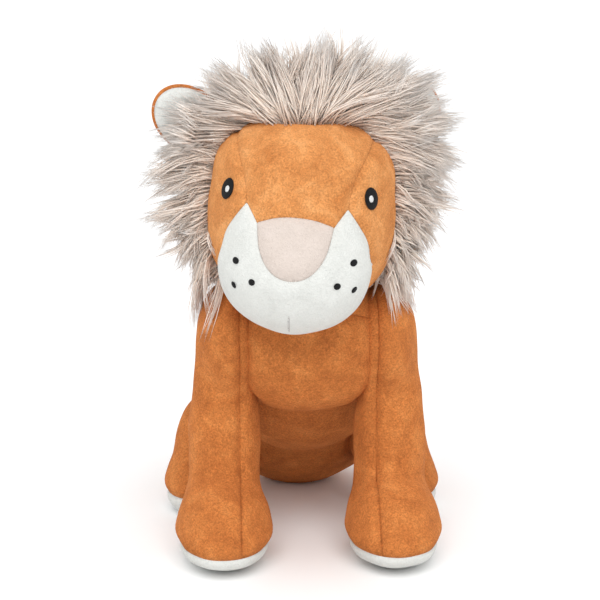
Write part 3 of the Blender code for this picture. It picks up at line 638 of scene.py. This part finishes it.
# %% Outlines of the face
FACE_EDGE, MUZZLE_EDGE = -0.016, -0.043
HAIRLINE, HAIRLINE_TILT = 0.2375, 0.05
MUZZLE_WIDE, MUZZLE_LOW, MUZZLE_TALL = 0.038, 0.164, 0.033
CURVE_STEPS = 6
head_back = head_pose.inverted()


def curved(points, corners):
    """A closed outline through some points, smooth but for its corners."""
    found = []
    count = len(points)
    at = np.array(points)
    for index in range(count):
        before, here, after, beyond = (at[(index + step) % count] for step in (-1, 0, 1, 2))
        leave = np.zeros(2) if index in corners else (after - before) / 2
        arrive = np.zeros(2) if (index + 1) % count in corners else (beyond - here) / 2
        for t in np.arange(CURVE_STEPS) / CURVE_STEPS:
            a, b = 2 * t**3 - 3 * t**2 + 1, t**3 - 2 * t**2 + t
            c, d = -2 * t**3 + 3 * t**2, t**3 - t**2
            found.append(a * here + b * leave + c * after + d * arrive)
    return np.array(found)


def on_face(half, corners):
    """A symmetric outline from its right half, given in shares of the muzzle's size."""
    right = [(a * MUZZLE_WIDE, MUZZLE_LOW + b * MUZZLE_TALL) for a, b in half]
    left = [(-across, height) for across, height in reversed(right) if across]
    count = len(right) + len(left)
    doubled = 0 if half[0][0] == 0 else 1
    both = set(corners) | {(count - doubled - index) % count for index in corners}
    return curved(right + left, both)


def outline_field(outline):
    """How far a point of the head lies outside an outline on the face."""
    starts, edges = outline, np.roll(outline, -1, axis=0) - outline

    def field(points):
        own = moved(points, head_back)[:, (0, 2)]
        away = own[:, None] - starts
        share = np.clip((away * edges).sum(2) / (edges**2).sum(1), 0, 1)
        gap = np.linalg.norm(away - share[..., None] * edges, axis=2).min(1)
        rise = np.where(edges[:, 1] == 0, TINY, edges[:, 1])
        crosses = (starts[:, 1] > own[:, None, 1]) != ((starts + edges)[:, 1] > own[:, None, 1])
        crosses &= own[:, None, 0] < edges[:, 0] * away[:, :, 1] / rise + starts[:, 0]
        return np.where(crosses.sum(1) % 2 == 1, -gap, gap)

    return field


NOSE = [(0, -0.02), (0.19, 0.03), (0.35, 0.19), (0.46, 0.44), (0.52, 0.785), (0.27, 0.88), (0, 0.91)]
MUZZLE = [(1.15, -1.5), (1.15, -0.19), (1.04, 0.17), (0.95, 0.58), (0.68, 1.04), (0.52, 0.78), (0, 0.56)]
BROW = [(0.50, 0.47), (0.68, 1.04), (0.70, 1.20), (0.77, 1.52), (0.94, 2.03), (1.0, 2.72)]
nose_edge = outline_field(on_face(NOSE, {4}))
muzzle_edge = outline_field(on_face(MUZZLE, {0, 4, 5}))
brow_edge = outline_field(on_face(BROW, {0, 5}))


def face_plane(axis, at):
    return lambda points: moved(points, head_back)[:, axis] - at


def behind_face(points):
    """How far a point lies behind or above the edge of the mane's cloth, which ends in a level hairline."""
    own = moved(points, head_back)
    return np.maximum(own[:, 1] - FACE_EDGE, own[:, 2] - HAIRLINE - HAIRLINE_TILT * own[:, 0])


def head_labels(middles):
    own = moved(middles, head_back)
    found = np.where(own[:, 0] > 0, 0, 1)
    found[brow_edge(middles) < 0] = 2
    forward = own[:, 1] < MUZZLE_EDGE
    found[forward & (muzzle_edge(middles) < 0)] = 3
    found[forward & (nose_edge(middles) < 0)] = 4
    found[behind_face(middles) > 0] = LEFT_OUT
    return found


print("outlines of", len(NOSE), len(MUZZLE), "and", len(BROW), "points")

# %% [markdown]
# Labels 0 to 4 become the face's panels here. A copy of the skin is kept for the mane's backing.

# %% Face panels
HEAD_CUTS = 96
HEAD_VALLEYS = {"depth": 0.0008, "lump": 0.0005, "seed": 11.0}
head_seams = {
    1: [face_plane(0, 0)],
    2: [brow_edge],
    3: [muzzle_edge, face_plane(1, MUZZLE_EDGE)],
    4: [nose_edge],
    LEFT_OUT: [behind_face],
}
head = skin(head_field, head_pose @ shift(*skull), 0.0, HEAD_CUTS)
head_marks = sewn(head, head_field, head_labels, head_seams, **HEAD_VALLEYS)
hood = head.copy()
# The forehead and cheeks take the lighter orange, whose extra brightness is painted light.
made = {
    0: ("cheek_left_plush", "head", lit_face_orange, "orange_plush", ["cheek_left", "head_stuffing"]),
    1: ("cheek_right_plush", "head", lit_face_orange, "orange_plush", ["cheek_right"]),
    2: ("forehead_plush", "head", lit_face_orange, "orange_plush", ["forehead_panel"]),
    3: ("muzzle_plush", "head", white, "white_plush", ["muzzle_patch"]),
    4: ("nose_plush", "head", pink, "pink_plush", ["nose_patch"]),
}
head_panels = panels(head, head_marks, made)
print("face", {name: len(piece.data.polygons) for name, piece in head_panels.items()})

# %% [markdown]
# ## Embroidery
# The eyes, whisker dots and mouth are satin stitch, which stands a little proud of the plush and has a
# rounded top. Each is a ball flattened into a pad: seen from the front it is an oval, and its points are
# carried back along the view on to the face, those of its upper side a little higher than the others.

# %% Eyes, whisker dots and mouth
PAD_CUTS = 9
UPPER_FACE, MUZZLE_FRONT = 0.017, 0.050
threads = {"black": black_thread, "white": white_thread, "grey": grey_thread}


def pad(solid, at, size, lean, stands, colour, depth):
    """A flattened ball of stitches. `stands` tells how far its lower and upper side stand off the cloth."""
    shape = quad_ball(PAD_CUTS)
    unit = places(shape)
    turned = np.array([[math.cos(lean), -math.sin(lean)], [math.sin(lean), math.cos(lean)]])
    ovals = (unit[:, :2] * np.array(size) / 2) @ turned.T + at
    starts = np.column_stack([ovals[:, 0], np.full(len(ovals), -depth), ovals[:, 1]])
    ways = np.tile(np.array(head_pose.to_3x3()) @ (0, -1, 0), (len(ovals), 1))
    low, high = stands
    levels = low + (high - low) * (unit[:, 2] + 1) / 2
    put(shape, traced(head_field, moved(starts, head_pose), ways, levels))
    bmesh.ops.recalc_face_normals(shape, faces=shape.faces)
    name = solid.removesuffix("_stitch") + "_thread"
    return finished(name, shape, "head", threads[colour], f"{colour}_thread", [solid])


EYE_ACROSS, EYE_HEIGHT = 0.0365, 0.2030
EYE_LEANS = {"left": math.radians(12), "right": math.radians(18)}
EYE_SIZE, EYE_STANDS = (0.0062, 0.0116), (-0.0004, 0.0011)
GLINT_SIZE, GLINT_STANDS = (0.0021, 0.0036), (0.0006, 0.0015)
DOT_SIZE, DOT_STANDS = (0.0034, 0.0034), (-0.0004, 0.0009)
SLIM_DOT, SLIM_SIZE, SLIM_SLANT = 3, (0.0022, 0.0036), 0.5
MOUTH_PLACE, MOUTH_SIZE, MOUTH_STANDS = (0, 0.1395), (0.0012, 0.0110), (-0.0004, 0.0005)
DOTS = {
    "left": [(0.80, 0.27), (0.61, -0.07), (0.83, -0.145)],
    "right": [(0.75, 0.19), (0.51, -0.09), (0.76, -0.19)],
}
for side, sign in sides.items():
    eye_at, lean = (sign * EYE_ACROSS, EYE_HEIGHT), sign * EYE_LEANS[side]
    pad(f"eye_{side}", eye_at, EYE_SIZE, lean, EYE_STANDS, "black", UPPER_FACE)
    pad(f"eye_glint_{side}", eye_at, GLINT_SIZE, lean, GLINT_STANDS, "white", UPPER_FACE)
    for number, (a, b) in enumerate(DOTS[side], 1):
        dot_at = (sign * a * MUZZLE_WIDE, MUZZLE_LOW + b * MUZZLE_TALL)
        size, slant = (SLIM_SIZE, -sign * SLIM_SLANT) if number == SLIM_DOT else (DOT_SIZE, 0)
        pad(f"whisker_dot_{side}_{number}", dot_at, size, slant, DOT_STANDS, "black", MUZZLE_FRONT)
pad("mouth_stitch", MOUTH_PLACE, MOUTH_SIZE, 0, MOUTH_STANDS, "grey", MUZZLE_FRONT)

# %% [markdown]
# ## Ears
# Each ear is an orange back and a white lining, sewn face to face and turned right side out, so the lining
# sits inside a rim of orange. A shallow cup is pressed into the front, and the root is kept clear of the head
# so that the ear can fold.

# %% Ears
EAR_RISES = {"left": math.radians(45), "right": math.radians(33)}
EAR_LEANS = {"left": math.radians(35), "right": 0.0}
EAR_MIDDLE = 0.0175
EAR_ROOT_SIZE, EAR_SIZE = (0.011, 0.0045, 0.0045), (0.017, 0.0048, 0.022)
CUP_RADIUS, CUP_AHEAD = 0.034, -0.0358
HEAD_GAP = 0.0006
LINING_WIDE, LINING_TALL, LINING_BACK = 0.0157, 0.0203, 0.0005
EAR_CUTS, EAR_EASES = 34, 2
EAR_VALLEYS = {"depth": 0.0005, "lump": 0.0002, "seed": 20.0}
head_turned = head_pose.to_3x3().to_4x4()
ear_fields = {}
for side, sign in sides.items():
    body = f"ear_{side}"
    way = Vector((sign * math.cos(EAR_RISES[side]), 0, math.sin(EAR_RISES[side])))
    across = Vector((0, 1, 0)).cross(way)
    upright = Matrix((across, (0, 1, 0), way)).transposed().to_4x4()
    turned = upright @ Matrix.Rotation(-EAR_LEANS[side], 4, "X")
    pose = shift(*pivots[body]) @ head_turned @ turned
    ear_lobes = [lobe((0, 0, 0), EAR_ROOT_SIZE), lobe((0, 0, EAR_MIDDLE), EAR_SIZE)]
    outer = blend(ear_lobes, pose, FINE_ROUNDING)
    cup = np.array(pose @ Vector((0, CUP_AHEAD, EAR_MIDDLE)))
    ear_fields[body] = outer

    def ear_field(points):
        pressed = CUP_RADIUS - np.linalg.norm(points - cup, axis=1)
        return np.maximum(np.maximum(outer(points), pressed), HEAD_GAP - head_field(points))

    back_of_pose = pose.inverted()

    def lining_edge(points):
        own = moved(points, back_of_pose)
        return (np.hypot(own[:, 0] / LINING_WIDE, (own[:, 2] - EAR_MIDDLE) / LINING_TALL) - 1) * LINING_WIDE

    def ear_labels(middles):
        own = moved(middles, back_of_pose)
        return np.where((lining_edge(middles) < 0) & (own[:, 1] < LINING_BACK), 1, 0)

    ear = skin(ear_field, pose @ shift(0, 0, EAR_MIDDLE), 0.0, EAR_CUTS)
    marks = sewn(ear, ear_field, ear_labels, {1: [lining_edge]}, EAR_EASES, **EAR_VALLEYS)
    made = {
        0: (f"{body}_back_plush", body, orange, "orange_plush", [f"{body}_back"]),
        1: (f"{body}_lining_plush", body, white, "white_plush", [f"{body}_lining"]),
    }
    print(body, {name: len(piece.data.polygons) for name, piece in panels(ear, marks, made).items()})

# %% [markdown]
# ## The tail
# The photograph hides the tail. A lion has one, so it is a short stuffed tube that comes out low on the
# back, with a tuft of the mane's fur at its end.

# %% Tail
TAIL_SPINE, TAIL_CUTS = 0.0188, 22
tail_frame = shift(*tail_middle) @ Matrix.Rotation(TAIL_SLOPE, 4, "X")
tail = skin(tail_field, tail_frame, TAIL_SPINE, TAIL_CUTS)
tail_plush = finished("tail_plush", tail, "tail", orange, "orange_plush", ["tail_cover", "tail_stuffing"])
print("tail", len(tail_plush.data.polygons), "faces")

# %% [markdown]
# ## Long fur
# The mane is a long-pile cloth, whose fibres cling together into pointed locks. A particle system could
# grow them, but its hairs don't leave Blender as geometry. Here one strand is a thin three-sided cone, cut
# into four lengths. It is copied thousands of times, and each copy's points are laid along a curve
# of its own, which leans towards the middle of its lock.

# %% One strand, many times
STRAND_CUTS, SEED = 4, 7
AXIS_NEAR, TIP_FROM = 1e-4, 0.999
WAVE_HEIGHT, WAVE_TURNS = 0.018, 5.5
THICK_FROM, THICK_TO, THINNING, GATHERING = 0.75, 1.2, 0.75, 0.8
rng = np.random.default_rng(SEED)


def one_strand():
    shape = bmesh.new()
    bmesh.ops.create_cone(shape, cap_ends=True, segments=3, radius1=1, radius2=0, depth=1)
    bmesh.ops.translate(shape, vec=(0, 0, 0.5), verts=shape.verts)
    for cut in range(1, STRAND_CUTS):
        whole = [*shape.verts, *shape.edges, *shape.faces]
        bmesh.ops.bisect_plane(shape, geom=whole, plane_co=(0, 0, cut / STRAND_CUTS), plane_no=(0, 0, 1))
    return shape


def copies(shape, count):
    """Copies a shape by doubling until there are enough of it. Gives the number of points in one."""
    parts = [list(shape.verts), list(shape.edges), list(shape.faces)]
    sizes = [len(part) for part in parts]
    made = 1
    while made < count:
        step = min(made, count - made)
        whole = [list(shape.verts), list(shape.edges), list(shape.faces)]
        chosen = [item for part, size in zip(whole, sizes) for item in part[: step * size]]
        bmesh.ops.duplicate(shape, geom=chosen)
        made += step
    return sizes[0]


def unit_rows(rows):
    return rows / np.maximum(np.linalg.norm(rows, axis=1), TINY)[:, None]


def fur_piece(name, strands, width, body, solid):
    """Lays a copy of the strand along each strand's curve, above the floor. `strands` holds equal arrays."""
    roots, ways, lengths, bends, gather, tones = strands
    count = len(roots)
    shape = one_strand()
    points = copies(shape, count)
    own = places(shape).reshape(count, points, 3)
    along = own[:, :, 2]
    around = own[:, :, :2]
    around = around / np.maximum(np.linalg.norm(around, axis=2), AXIS_NEAR)[:, :, None]
    around[own[:, :, 2] > TIP_FROM] = 0
    middle = roots[:, None] + ways[:, None] * (lengths[:, None] * along)[..., None]
    middle += bends[:, None] * (lengths[:, None] * along**2)[..., None]
    middle += gather[:, None] * (along**GATHERING)[..., None]
    middle[:, :, 2] = np.maximum(middle[:, :, 2], 2 * width)
    phase = rng.uniform(0, 2 * math.pi, count)
    wave = WAVE_HEIGHT * lengths[:, None] * np.sin(phase[:, None] + along * WAVE_TURNS) * along
    one = unit_rows(np.cross(ways, rng.normal(size=(count, 3))))
    two = np.cross(ways, one)
    middle += one[:, None] * wave[..., None]
    radius = width * rng.uniform(THICK_FROM, THICK_TO, count)[:, None] * (1 - THINNING * along**2)
    middle += one[:, None] * (around[:, :, 0] * radius)[..., None]
    middle += two[:, None] * (around[:, :, 1] * radius)[..., None]
    put(shape, middle.reshape(-1, 3))
    bmesh.ops.recalc_face_normals(shape, faces=shape.faces)
    piece = finished(name, shape, body, fur, "taupe_fur", [solid])
    for label, values in (("along", along), ("tone", np.repeat(tones, points))):
        made = piece.data.attributes.new(label, "FLOAT", "POINT")
        made.data.foreach_set("value", np.ascontiguousarray(values, np.float32).ravel())
    return piece


def scattered(piece, count):
    """Even random places on a piece, with the way out of the cloth there."""
    mesh = piece.data
    mesh.calc_loop_triangles()
    corners = np.array([triangle.vertices[:] for triangle in mesh.loop_triangles])
    at = np.array([point.co for point in mesh.vertices])[corners]
    normal = np.cross(at[:, 1] - at[:, 0], at[:, 2] - at[:, 0])
    area = np.linalg.norm(normal, axis=1)
    chosen = rng.choice(len(at), count, p=area / area.sum())
    a, b = rng.uniform(size=(2, count))
    over = a + b > 1
    a[over], b[over] = 1 - a[over], 1 - b[over]
    at = at[chosen]
    found = at[:, 0] + (at[:, 1] - at[:, 0]) * a[:, None] + (at[:, 2] - at[:, 0]) * b[:, None]
    return found, unit_rows(normal[chosen])


print("ready: strands")

# %% [markdown]
# ## The mane
# Behind the face the head is covered by the mane's backing cloth, and locks are rooted all over it. More of
# them stand in a row along its front edge, thickest in front of the ears.

# %% Roots of the locks
LOCKS, RIM_LOCKS = 2850, 840
RIM_NEAR, RIM_JITTER = 0.0004, 0.0008
EAR_ACROSS, EAR_HEIGHT, EAR_EXTRAS = 0.01, 0.215, (9.0, 3.0)
# The backing has no 'along' or 'tone' values, so it reads the lowest end of both ramps: the fur's darkest
# colour, painted shade under the locks.
made = {LEFT_OUT: ("mane_backing", "head", fur, "taupe_fur", ["mane"])}
backing = panels(hood, head_marks, made)["mane_backing"]
lock_roots, lock_normals = scattered(backing, LOCKS)
corners = np.array([point.co for point in backing.data.vertices])
rim = corners[np.abs(behind_face(corners)) < RIM_NEAR]
near_ears = (np.abs(rim[:, 0]) > EAR_ACROSS) & (rim[:, 2] > EAR_HEIGHT)
chances = 1 + np.where(rim[:, 0] > 0, *EAR_EXTRAS) * near_ears
rim = rim[rng.choice(len(rim), RIM_LOCKS, p=chances / chances.sum())]
rim = rim + rng.normal(0, RIM_JITTER, (RIM_LOCKS, 3))
lock_roots = np.vstack([lock_roots, rim])
lock_normals = np.vstack([lock_normals, slopes(head_field, rim)])
total = len(lock_roots)
print("lock roots", total)

# %% [markdown]
# The locks spread from a whorl over the forehead: up at the middle, sideways over the temples, down beside
# the cheeks. `polar` is a lock's angle as seen from the front. Neighbours turn towards each other into tufts,
# and some tufts reach further than others. The front rows end near the mane's outline and start off forward,
# over the edge of the face. The rows behind them stand out of the cloth, ruffled: at the crown they rise, and
# at the nape they hang.

# %% The way of each lock
WHORL_WIDTH, CROWN_HEIGHT, CROWN_FADE = 0.012, 0.214, 0.018
FRONT_START, FRONT_DEPTH = 1.2, 0.022
FAN, CROWN_FAN, FAN_JITTER = 13, 12, 0.09
TUFTS = [0.97, 1.22, 1.48, 1.95, 2.28]
TUFT_REACH = [0.03, 0.08, 0.08, 0.04, 0.0]
MORE_TUFTS, MORE_SPAN, MORE_JITTER, MORE_REACH = 34, (2.55, 2 * math.pi + 0.75), 0.03, (-0.06, 0.04)
TUFT_PULL = 0.5
EAR_ANGLE, EAR_SPREAD, EAR_REACH = 0.70, 0.38, 0.17
LEANS, LEANS_AT_EAR = (-0.42, 0.42), (-0.36, -0.08)
RUFFLE_SEED, RUFFLES = 8, (0.55, 0, 0.18)
NAPE_TO_CROWN, HANG_TO_RISE = (0.185, 0.225), (-0.35, 0.45)
REACHES, LEFT_TRIM, TRIM_WIDTH = (0.86, 1.10), 0.05, 0.04
SWEEP, CROWN_SWEEP = 6, 34
FACING, FACINGS, START_JITTER = np.array([0, -1, 0]), (0.0, 0.6), 0.10
head_rows = np.array(head_pose.to_3x3())

own = moved(lock_roots, head_back)
normal = lock_normals @ head_rows
side = np.sign(own[:, 0])
away = np.clip(np.abs(own[:, 0]) / WHORL_WIDTH, 0, 1)
high = np.clip((own[:, 2] - CROWN_HEIGHT) / CROWN_FADE, 0, 1)
front = np.clip(FRONT_START - behind_face(lock_roots) / FRONT_DEPTH, 0, 1)[:, None]
polar = np.arctan2(own[:, 2] - mane_middle[2], own[:, 0] - mane_middle[0])
polar = polar - side * away * np.radians(FAN + CROWN_FAN * high) + rng.normal(0, FAN_JITTER, total)
more = np.linspace(*MORE_SPAN, MORE_TUFTS) + rng.normal(0, MORE_JITTER, MORE_TUFTS)
tufts = np.append(TUFTS, more)
tuft_reach = np.append(TUFT_REACH, rng.uniform(*MORE_REACH, MORE_TUFTS))
turns = np.angle(np.exp(1j * (tufts - polar[:, None])))
nearest = np.abs(turns).argmin(1)
polar += TUFT_PULL * turns[np.arange(total), nearest]
over_ear = np.exp(-(((polar - EAR_ANGLE) / EAR_SPREAD) ** 2))
lean = rng.uniform(*LEANS, total) * (1 - over_ear) + rng.uniform(*LEANS_AT_EAR, total) * over_ear
aims = unit_rows(np.column_stack([np.cos(polar), lean, np.sin(polar)])) * front
ruffle = np.random.default_rng(RUFFLE_SEED)
droop = ruffle.uniform(-1, 1, (total, 3)) * np.array(RUFFLES)
droop[:, 2] += np.interp(own[:, 2], NAPE_TO_CROWN, HANG_TO_RISE)
aims = unit_rows(aims + unit_rows(normal + droop) * (1 - front)) @ head_rows.T
centres = np.tile(np.array(head_pose @ Vector(mane_middle)), (total, 1))
share = rng.uniform(*REACHES, total) + EAR_REACH * over_ear**2 + tuft_reach[nearest] * front[:, 0]
share -= LEFT_TRIM * np.clip(own[:, 0] / TRIM_WIDTH, 0, 1) * (1 - over_ear)
ends = centres + (traced(mane_field, centres, aims) - centres) * share[:, None]
radial = unit_rows((own - mane_middle) * np.array([1, 0, 1]))
sweep = -side * away * np.radians(SWEEP + CROWN_SWEEP * high)
swept = np.column_stack([
    radial[:, 0] * np.cos(sweep) - radial[:, 2] * np.sin(sweep), np.zeros(total),
    radial[:, 0] * np.sin(sweep) + radial[:, 2] * np.cos(sweep),
])
starts = unit_rows(swept + FACING * rng.uniform(*FACINGS, (total, 1))) * front
lock_ways = starts + normal * (1 - front) + rng.normal(0, START_JITTER, own.shape)
lock_ways = unit_rows(lock_ways) @ head_rows.T
print("locks aimed, in", len(tufts), "tufts")

# %% [markdown]
# A lock that would run into an ear, a shoulder or the chest is tried again further forward, further out or
# shorter, and left out if it still finds no room. None hangs under the chin.

# %% Room for each lock
OTHER_WAYS = [(0, 0, 1), (0.5, 0, 1), (1, 0, 1), (0.4, 0.4, 1), (1.5, 0.2, 1), (0.5, 0, 0.6), (1, 0.5, 0.6)]
FORWARD_STEP, OUTWARD_STEP, SHORTEST = 0.022, 0.030, 0.008
BODY_GAP, HEAD_SKIN_GAP = 0.0012, 0.0005
CHIN_ACROSS, CHIN_HEIGHT, CHIN_BACK = 0.046, 0.152, 0.02
outward = radial @ head_rows.T
blocked = together(torso_field, *leg_fields.values(), *ear_fields.values())
across, back, up = moved(ends, head_back).T
under_chin = (np.abs(across) < CHIN_ACROSS) & (up < CHIN_HEIGHT) & (back < CHIN_BACK)
free = np.zeros(total, bool)
lock_lengths, lock_bends = np.zeros(total), np.zeros((total, 3))
for forward, out, shrink in OTHER_WAYS:
    whole = (ends - lock_roots) * shrink + FACING * FORWARD_STEP * forward + outward * OUTWARD_STEP * out
    ways = unit_rows(lock_ways + FACING * forward)
    lengths = np.linalg.norm(whole, axis=1)
    bends = whole / lengths[:, None] - ways
    fits = (lengths > SHORTEST) & ~free & ~under_chin
    for share in (0.3, 0.5, 0.7, 0.85, 1.0):
        reached = lock_roots + (ways * share + bends * share**2) * lengths[:, None]
        fits &= (blocked(reached) > BODY_GAP) & (head_field(reached) > HEAD_SKIN_GAP)
    lock_ways[fits], lock_lengths[fits], lock_bends[fits] = ways[fits], lengths[fits], bends[fits]
    free |= fits
print("locks", int(free.sum()), "of", total)

# %% [markdown]
# Each lock is fourteen strands that stand round its root and draw together towards its tip. They are parted
# into pieces by where they are rooted, so that no piece has more than 200,000 triangles.

# %% Strands of the mane
STRANDS, STRAND_WIDTH = 14, 0.00044
LOCK_RADIUS, ROOT_SPREAD, ROOT_DEPTH = 0.0036, 0.55, 0.0012
STRAND_JITTER, STRAND_LENGTHS, STRAND_GATHER = 0.035, (0.72, 1.04), (0.8, 1.05)
MIDDLE_TONE, LOCK_TONES, STRAND_TONES = 0.5, 0.20, 0.06
BACK_FROM, TOP_LEFT_FROM, TOP_RIGHT_FROM, BACK_HIGH_FROM = 0.008, 0.221, 0.205, 0.195
lock = np.repeat(np.flatnonzero(free), STRANDS)
count = len(lock)
spread = rng.normal(0, LOCK_RADIUS * ROOT_SPREAD, (count, 3))
normals = lock_normals[lock]
spread -= normals * (spread * normals).sum(1)[:, None]
roots = lock_roots[lock] + spread - normals * ROOT_DEPTH
ways = unit_rows(lock_ways[lock] + rng.normal(0, STRAND_JITTER, (count, 3)))
lengths = lock_lengths[lock] * rng.uniform(*STRAND_LENGTHS, count)
gather = -spread * rng.uniform(*STRAND_GATHER, count)[:, None]
tones = rng.normal(MIDDLE_TONE, LOCK_TONES, total)[lock] + rng.normal(0, STRAND_TONES, count)
strands = (roots, ways, lengths, lock_bends[lock], gather, np.clip(tones, 0, 1))
across, back, up = moved(roots, head_back).T
at_back, on_left = back > BACK_FROM, across > 0
above = up > np.where(on_left, TOP_LEFT_FROM, TOP_RIGHT_FROM)
sectors = {
    "top_left": ~at_back & above & on_left,
    "top_right": ~at_back & above & ~on_left,
    "left": ~at_back & ~above & on_left,
    "right": ~at_back & ~above & ~on_left,
    "back_high": at_back & (up > BACK_HIGH_FROM),
    "back_low": at_back & (up <= BACK_HIGH_FROM),
}
for name, chosen in sectors.items():
    some = tuple(rows[chosen] for rows in strands)
    fur_piece(f"mane_fur_{name}", some, STRAND_WIDTH, "head", "mane")
    print("mane", name, int(chosen.sum()))

# %% [markdown]
# The tail's tuft is the same fur, finer and shorter, and lies more along the tail than out from it.

# %% Tail tuft
TUFT_ROOTS, TUFT_FROM, TUFT_WIDTH = 3000, 0.034, 0.00023
TUFT_OUT, TUFT_ALONG, TUFT_JITTER, TUFT_DROOP = 0.45, 0.9, 0.10, (0, 0, -0.05)
TUFT_LENGTHS, TUFT_TRIM = (0.010, 0.016), 0.9
tuft_roots, tuft_normals = scattered(tail_plush, TUFT_ROOTS)
some = (tuft_roots - np.array(tail_pivot)) @ np.array(tail_way) > TUFT_FROM
tuft_roots, tuft_normals = tuft_roots[some], tuft_normals[some]
count = len(tuft_roots)
tuft_ways = tuft_normals * TUFT_OUT + np.array(tail_way) * TUFT_ALONG + rng.normal(0, TUFT_JITTER, (count, 3))
tuft_lengths = rng.uniform(*TUFT_LENGTHS, count) * TUFT_TRIM
tones = np.clip(rng.normal(MIDDLE_TONE, LOCK_TONES, count), 0, 1)
tuft_bends, tuft_gather = np.tile(TUFT_DROOP, (count, 1)), np.zeros((count, 3))
tuft = (tuft_roots, unit_rows(tuft_ways), tuft_lengths, tuft_bends, tuft_gather, tones)
fur_piece("tail_tuft_fur", tuft, TUFT_WIDTH, "tail", "tail_tuft")
print("tuft strands", count)

# %% [markdown]
# ## Stage, light and camera
# The picture was taken on white, with soft light from all round and a little more from the front and above.
# A wide pale floor and a bright sky give the white, and one broad soft sun gives the shape.

# %% Floor, light and camera
FLOOR_SIZE, FLOOR_BELOW, FLOOR_ROUGHNESS, FLOOR_SHADE = 20, 0.0002, 0.8, 0.93
SKY_STRENGTH = 0.86
SUN_ENERGY, SUN_ANGLE, SUN_FROM = 1.75, math.radians(50), Vector((-0.02, -1.0, 1.2))
SENSOR_WIDTH, LENS = 36, 115.4
AZIMUTH, ELEVATION, DISTANCE = math.radians(-2.5), math.radians(12), 1.05
floor_mesh = bpy.data.meshes.new("floor")
corners = [(x * FLOOR_SIZE, y * FLOOR_SIZE, -FLOOR_BELOW) for x, y in ((-1, -1), (1, -1), (1, 1), (-1, 1))]
floor_mesh.from_pydata(corners, [], [(0, 1, 2, 3)])
floor = placed("floor", floor_mesh)
pale, _, _, pale_surface = material_of("pale_floor", FLOOR_ROUGHNESS, 0.0)
pale_surface.inputs["Base Color"].default_value = (*grey(FLOOR_SHADE), 1)
floor_mesh.materials.append(pale)
floor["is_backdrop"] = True

world = bpy.data.worlds.new("studio")
world.use_nodes = True
sky = world.node_tree.nodes["Background"].inputs
sky["Color"].default_value, sky["Strength"].default_value = WHITE, SKY_STRENGTH
bpy.context.scene.world = world

sun = placed("key_light", bpy.data.lights.new("key_light", "SUN"))
sun.data.energy, sun.data.angle = SUN_ENERGY, SUN_ANGLE
sun.rotation_euler = SUN_FROM.to_track_quat("Z", "Y").to_euler()

camera_data = bpy.data.cameras.new("camera")
camera_data.sensor_width, camera_data.lens = SENSOR_WIDTH, LENS
camera = placed("camera", camera_data)
aim = Vector((-0.003, 0.018 + neck.y, 0.134))
level = math.cos(ELEVATION)
seen_from = Vector((math.sin(AZIMUTH) * level, -math.cos(AZIMUTH) * level, math.sin(ELEVATION)))
camera.location = aim + seen_from * DISTANCE
camera.rotation_euler = (-seen_from).to_track_quat("-Z", "Y").to_euler()
bpy.context.scene.camera = camera
bpy.context.scene.view_settings.view_transform = "Standard"
print("camera", DISTANCE, "m away")

# %% [markdown]
# ## Size
# The box of the dressed lion is written beside the box of the plain solids, so that the two can be compared.

# %% Size and finish
low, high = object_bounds()
for end, now, then in (("low", low, cad_low), ("high", high, cad_high)):
    print(end, "sides past the solids' box", [round(a - b, 4) for a, b in zip(now, then)])
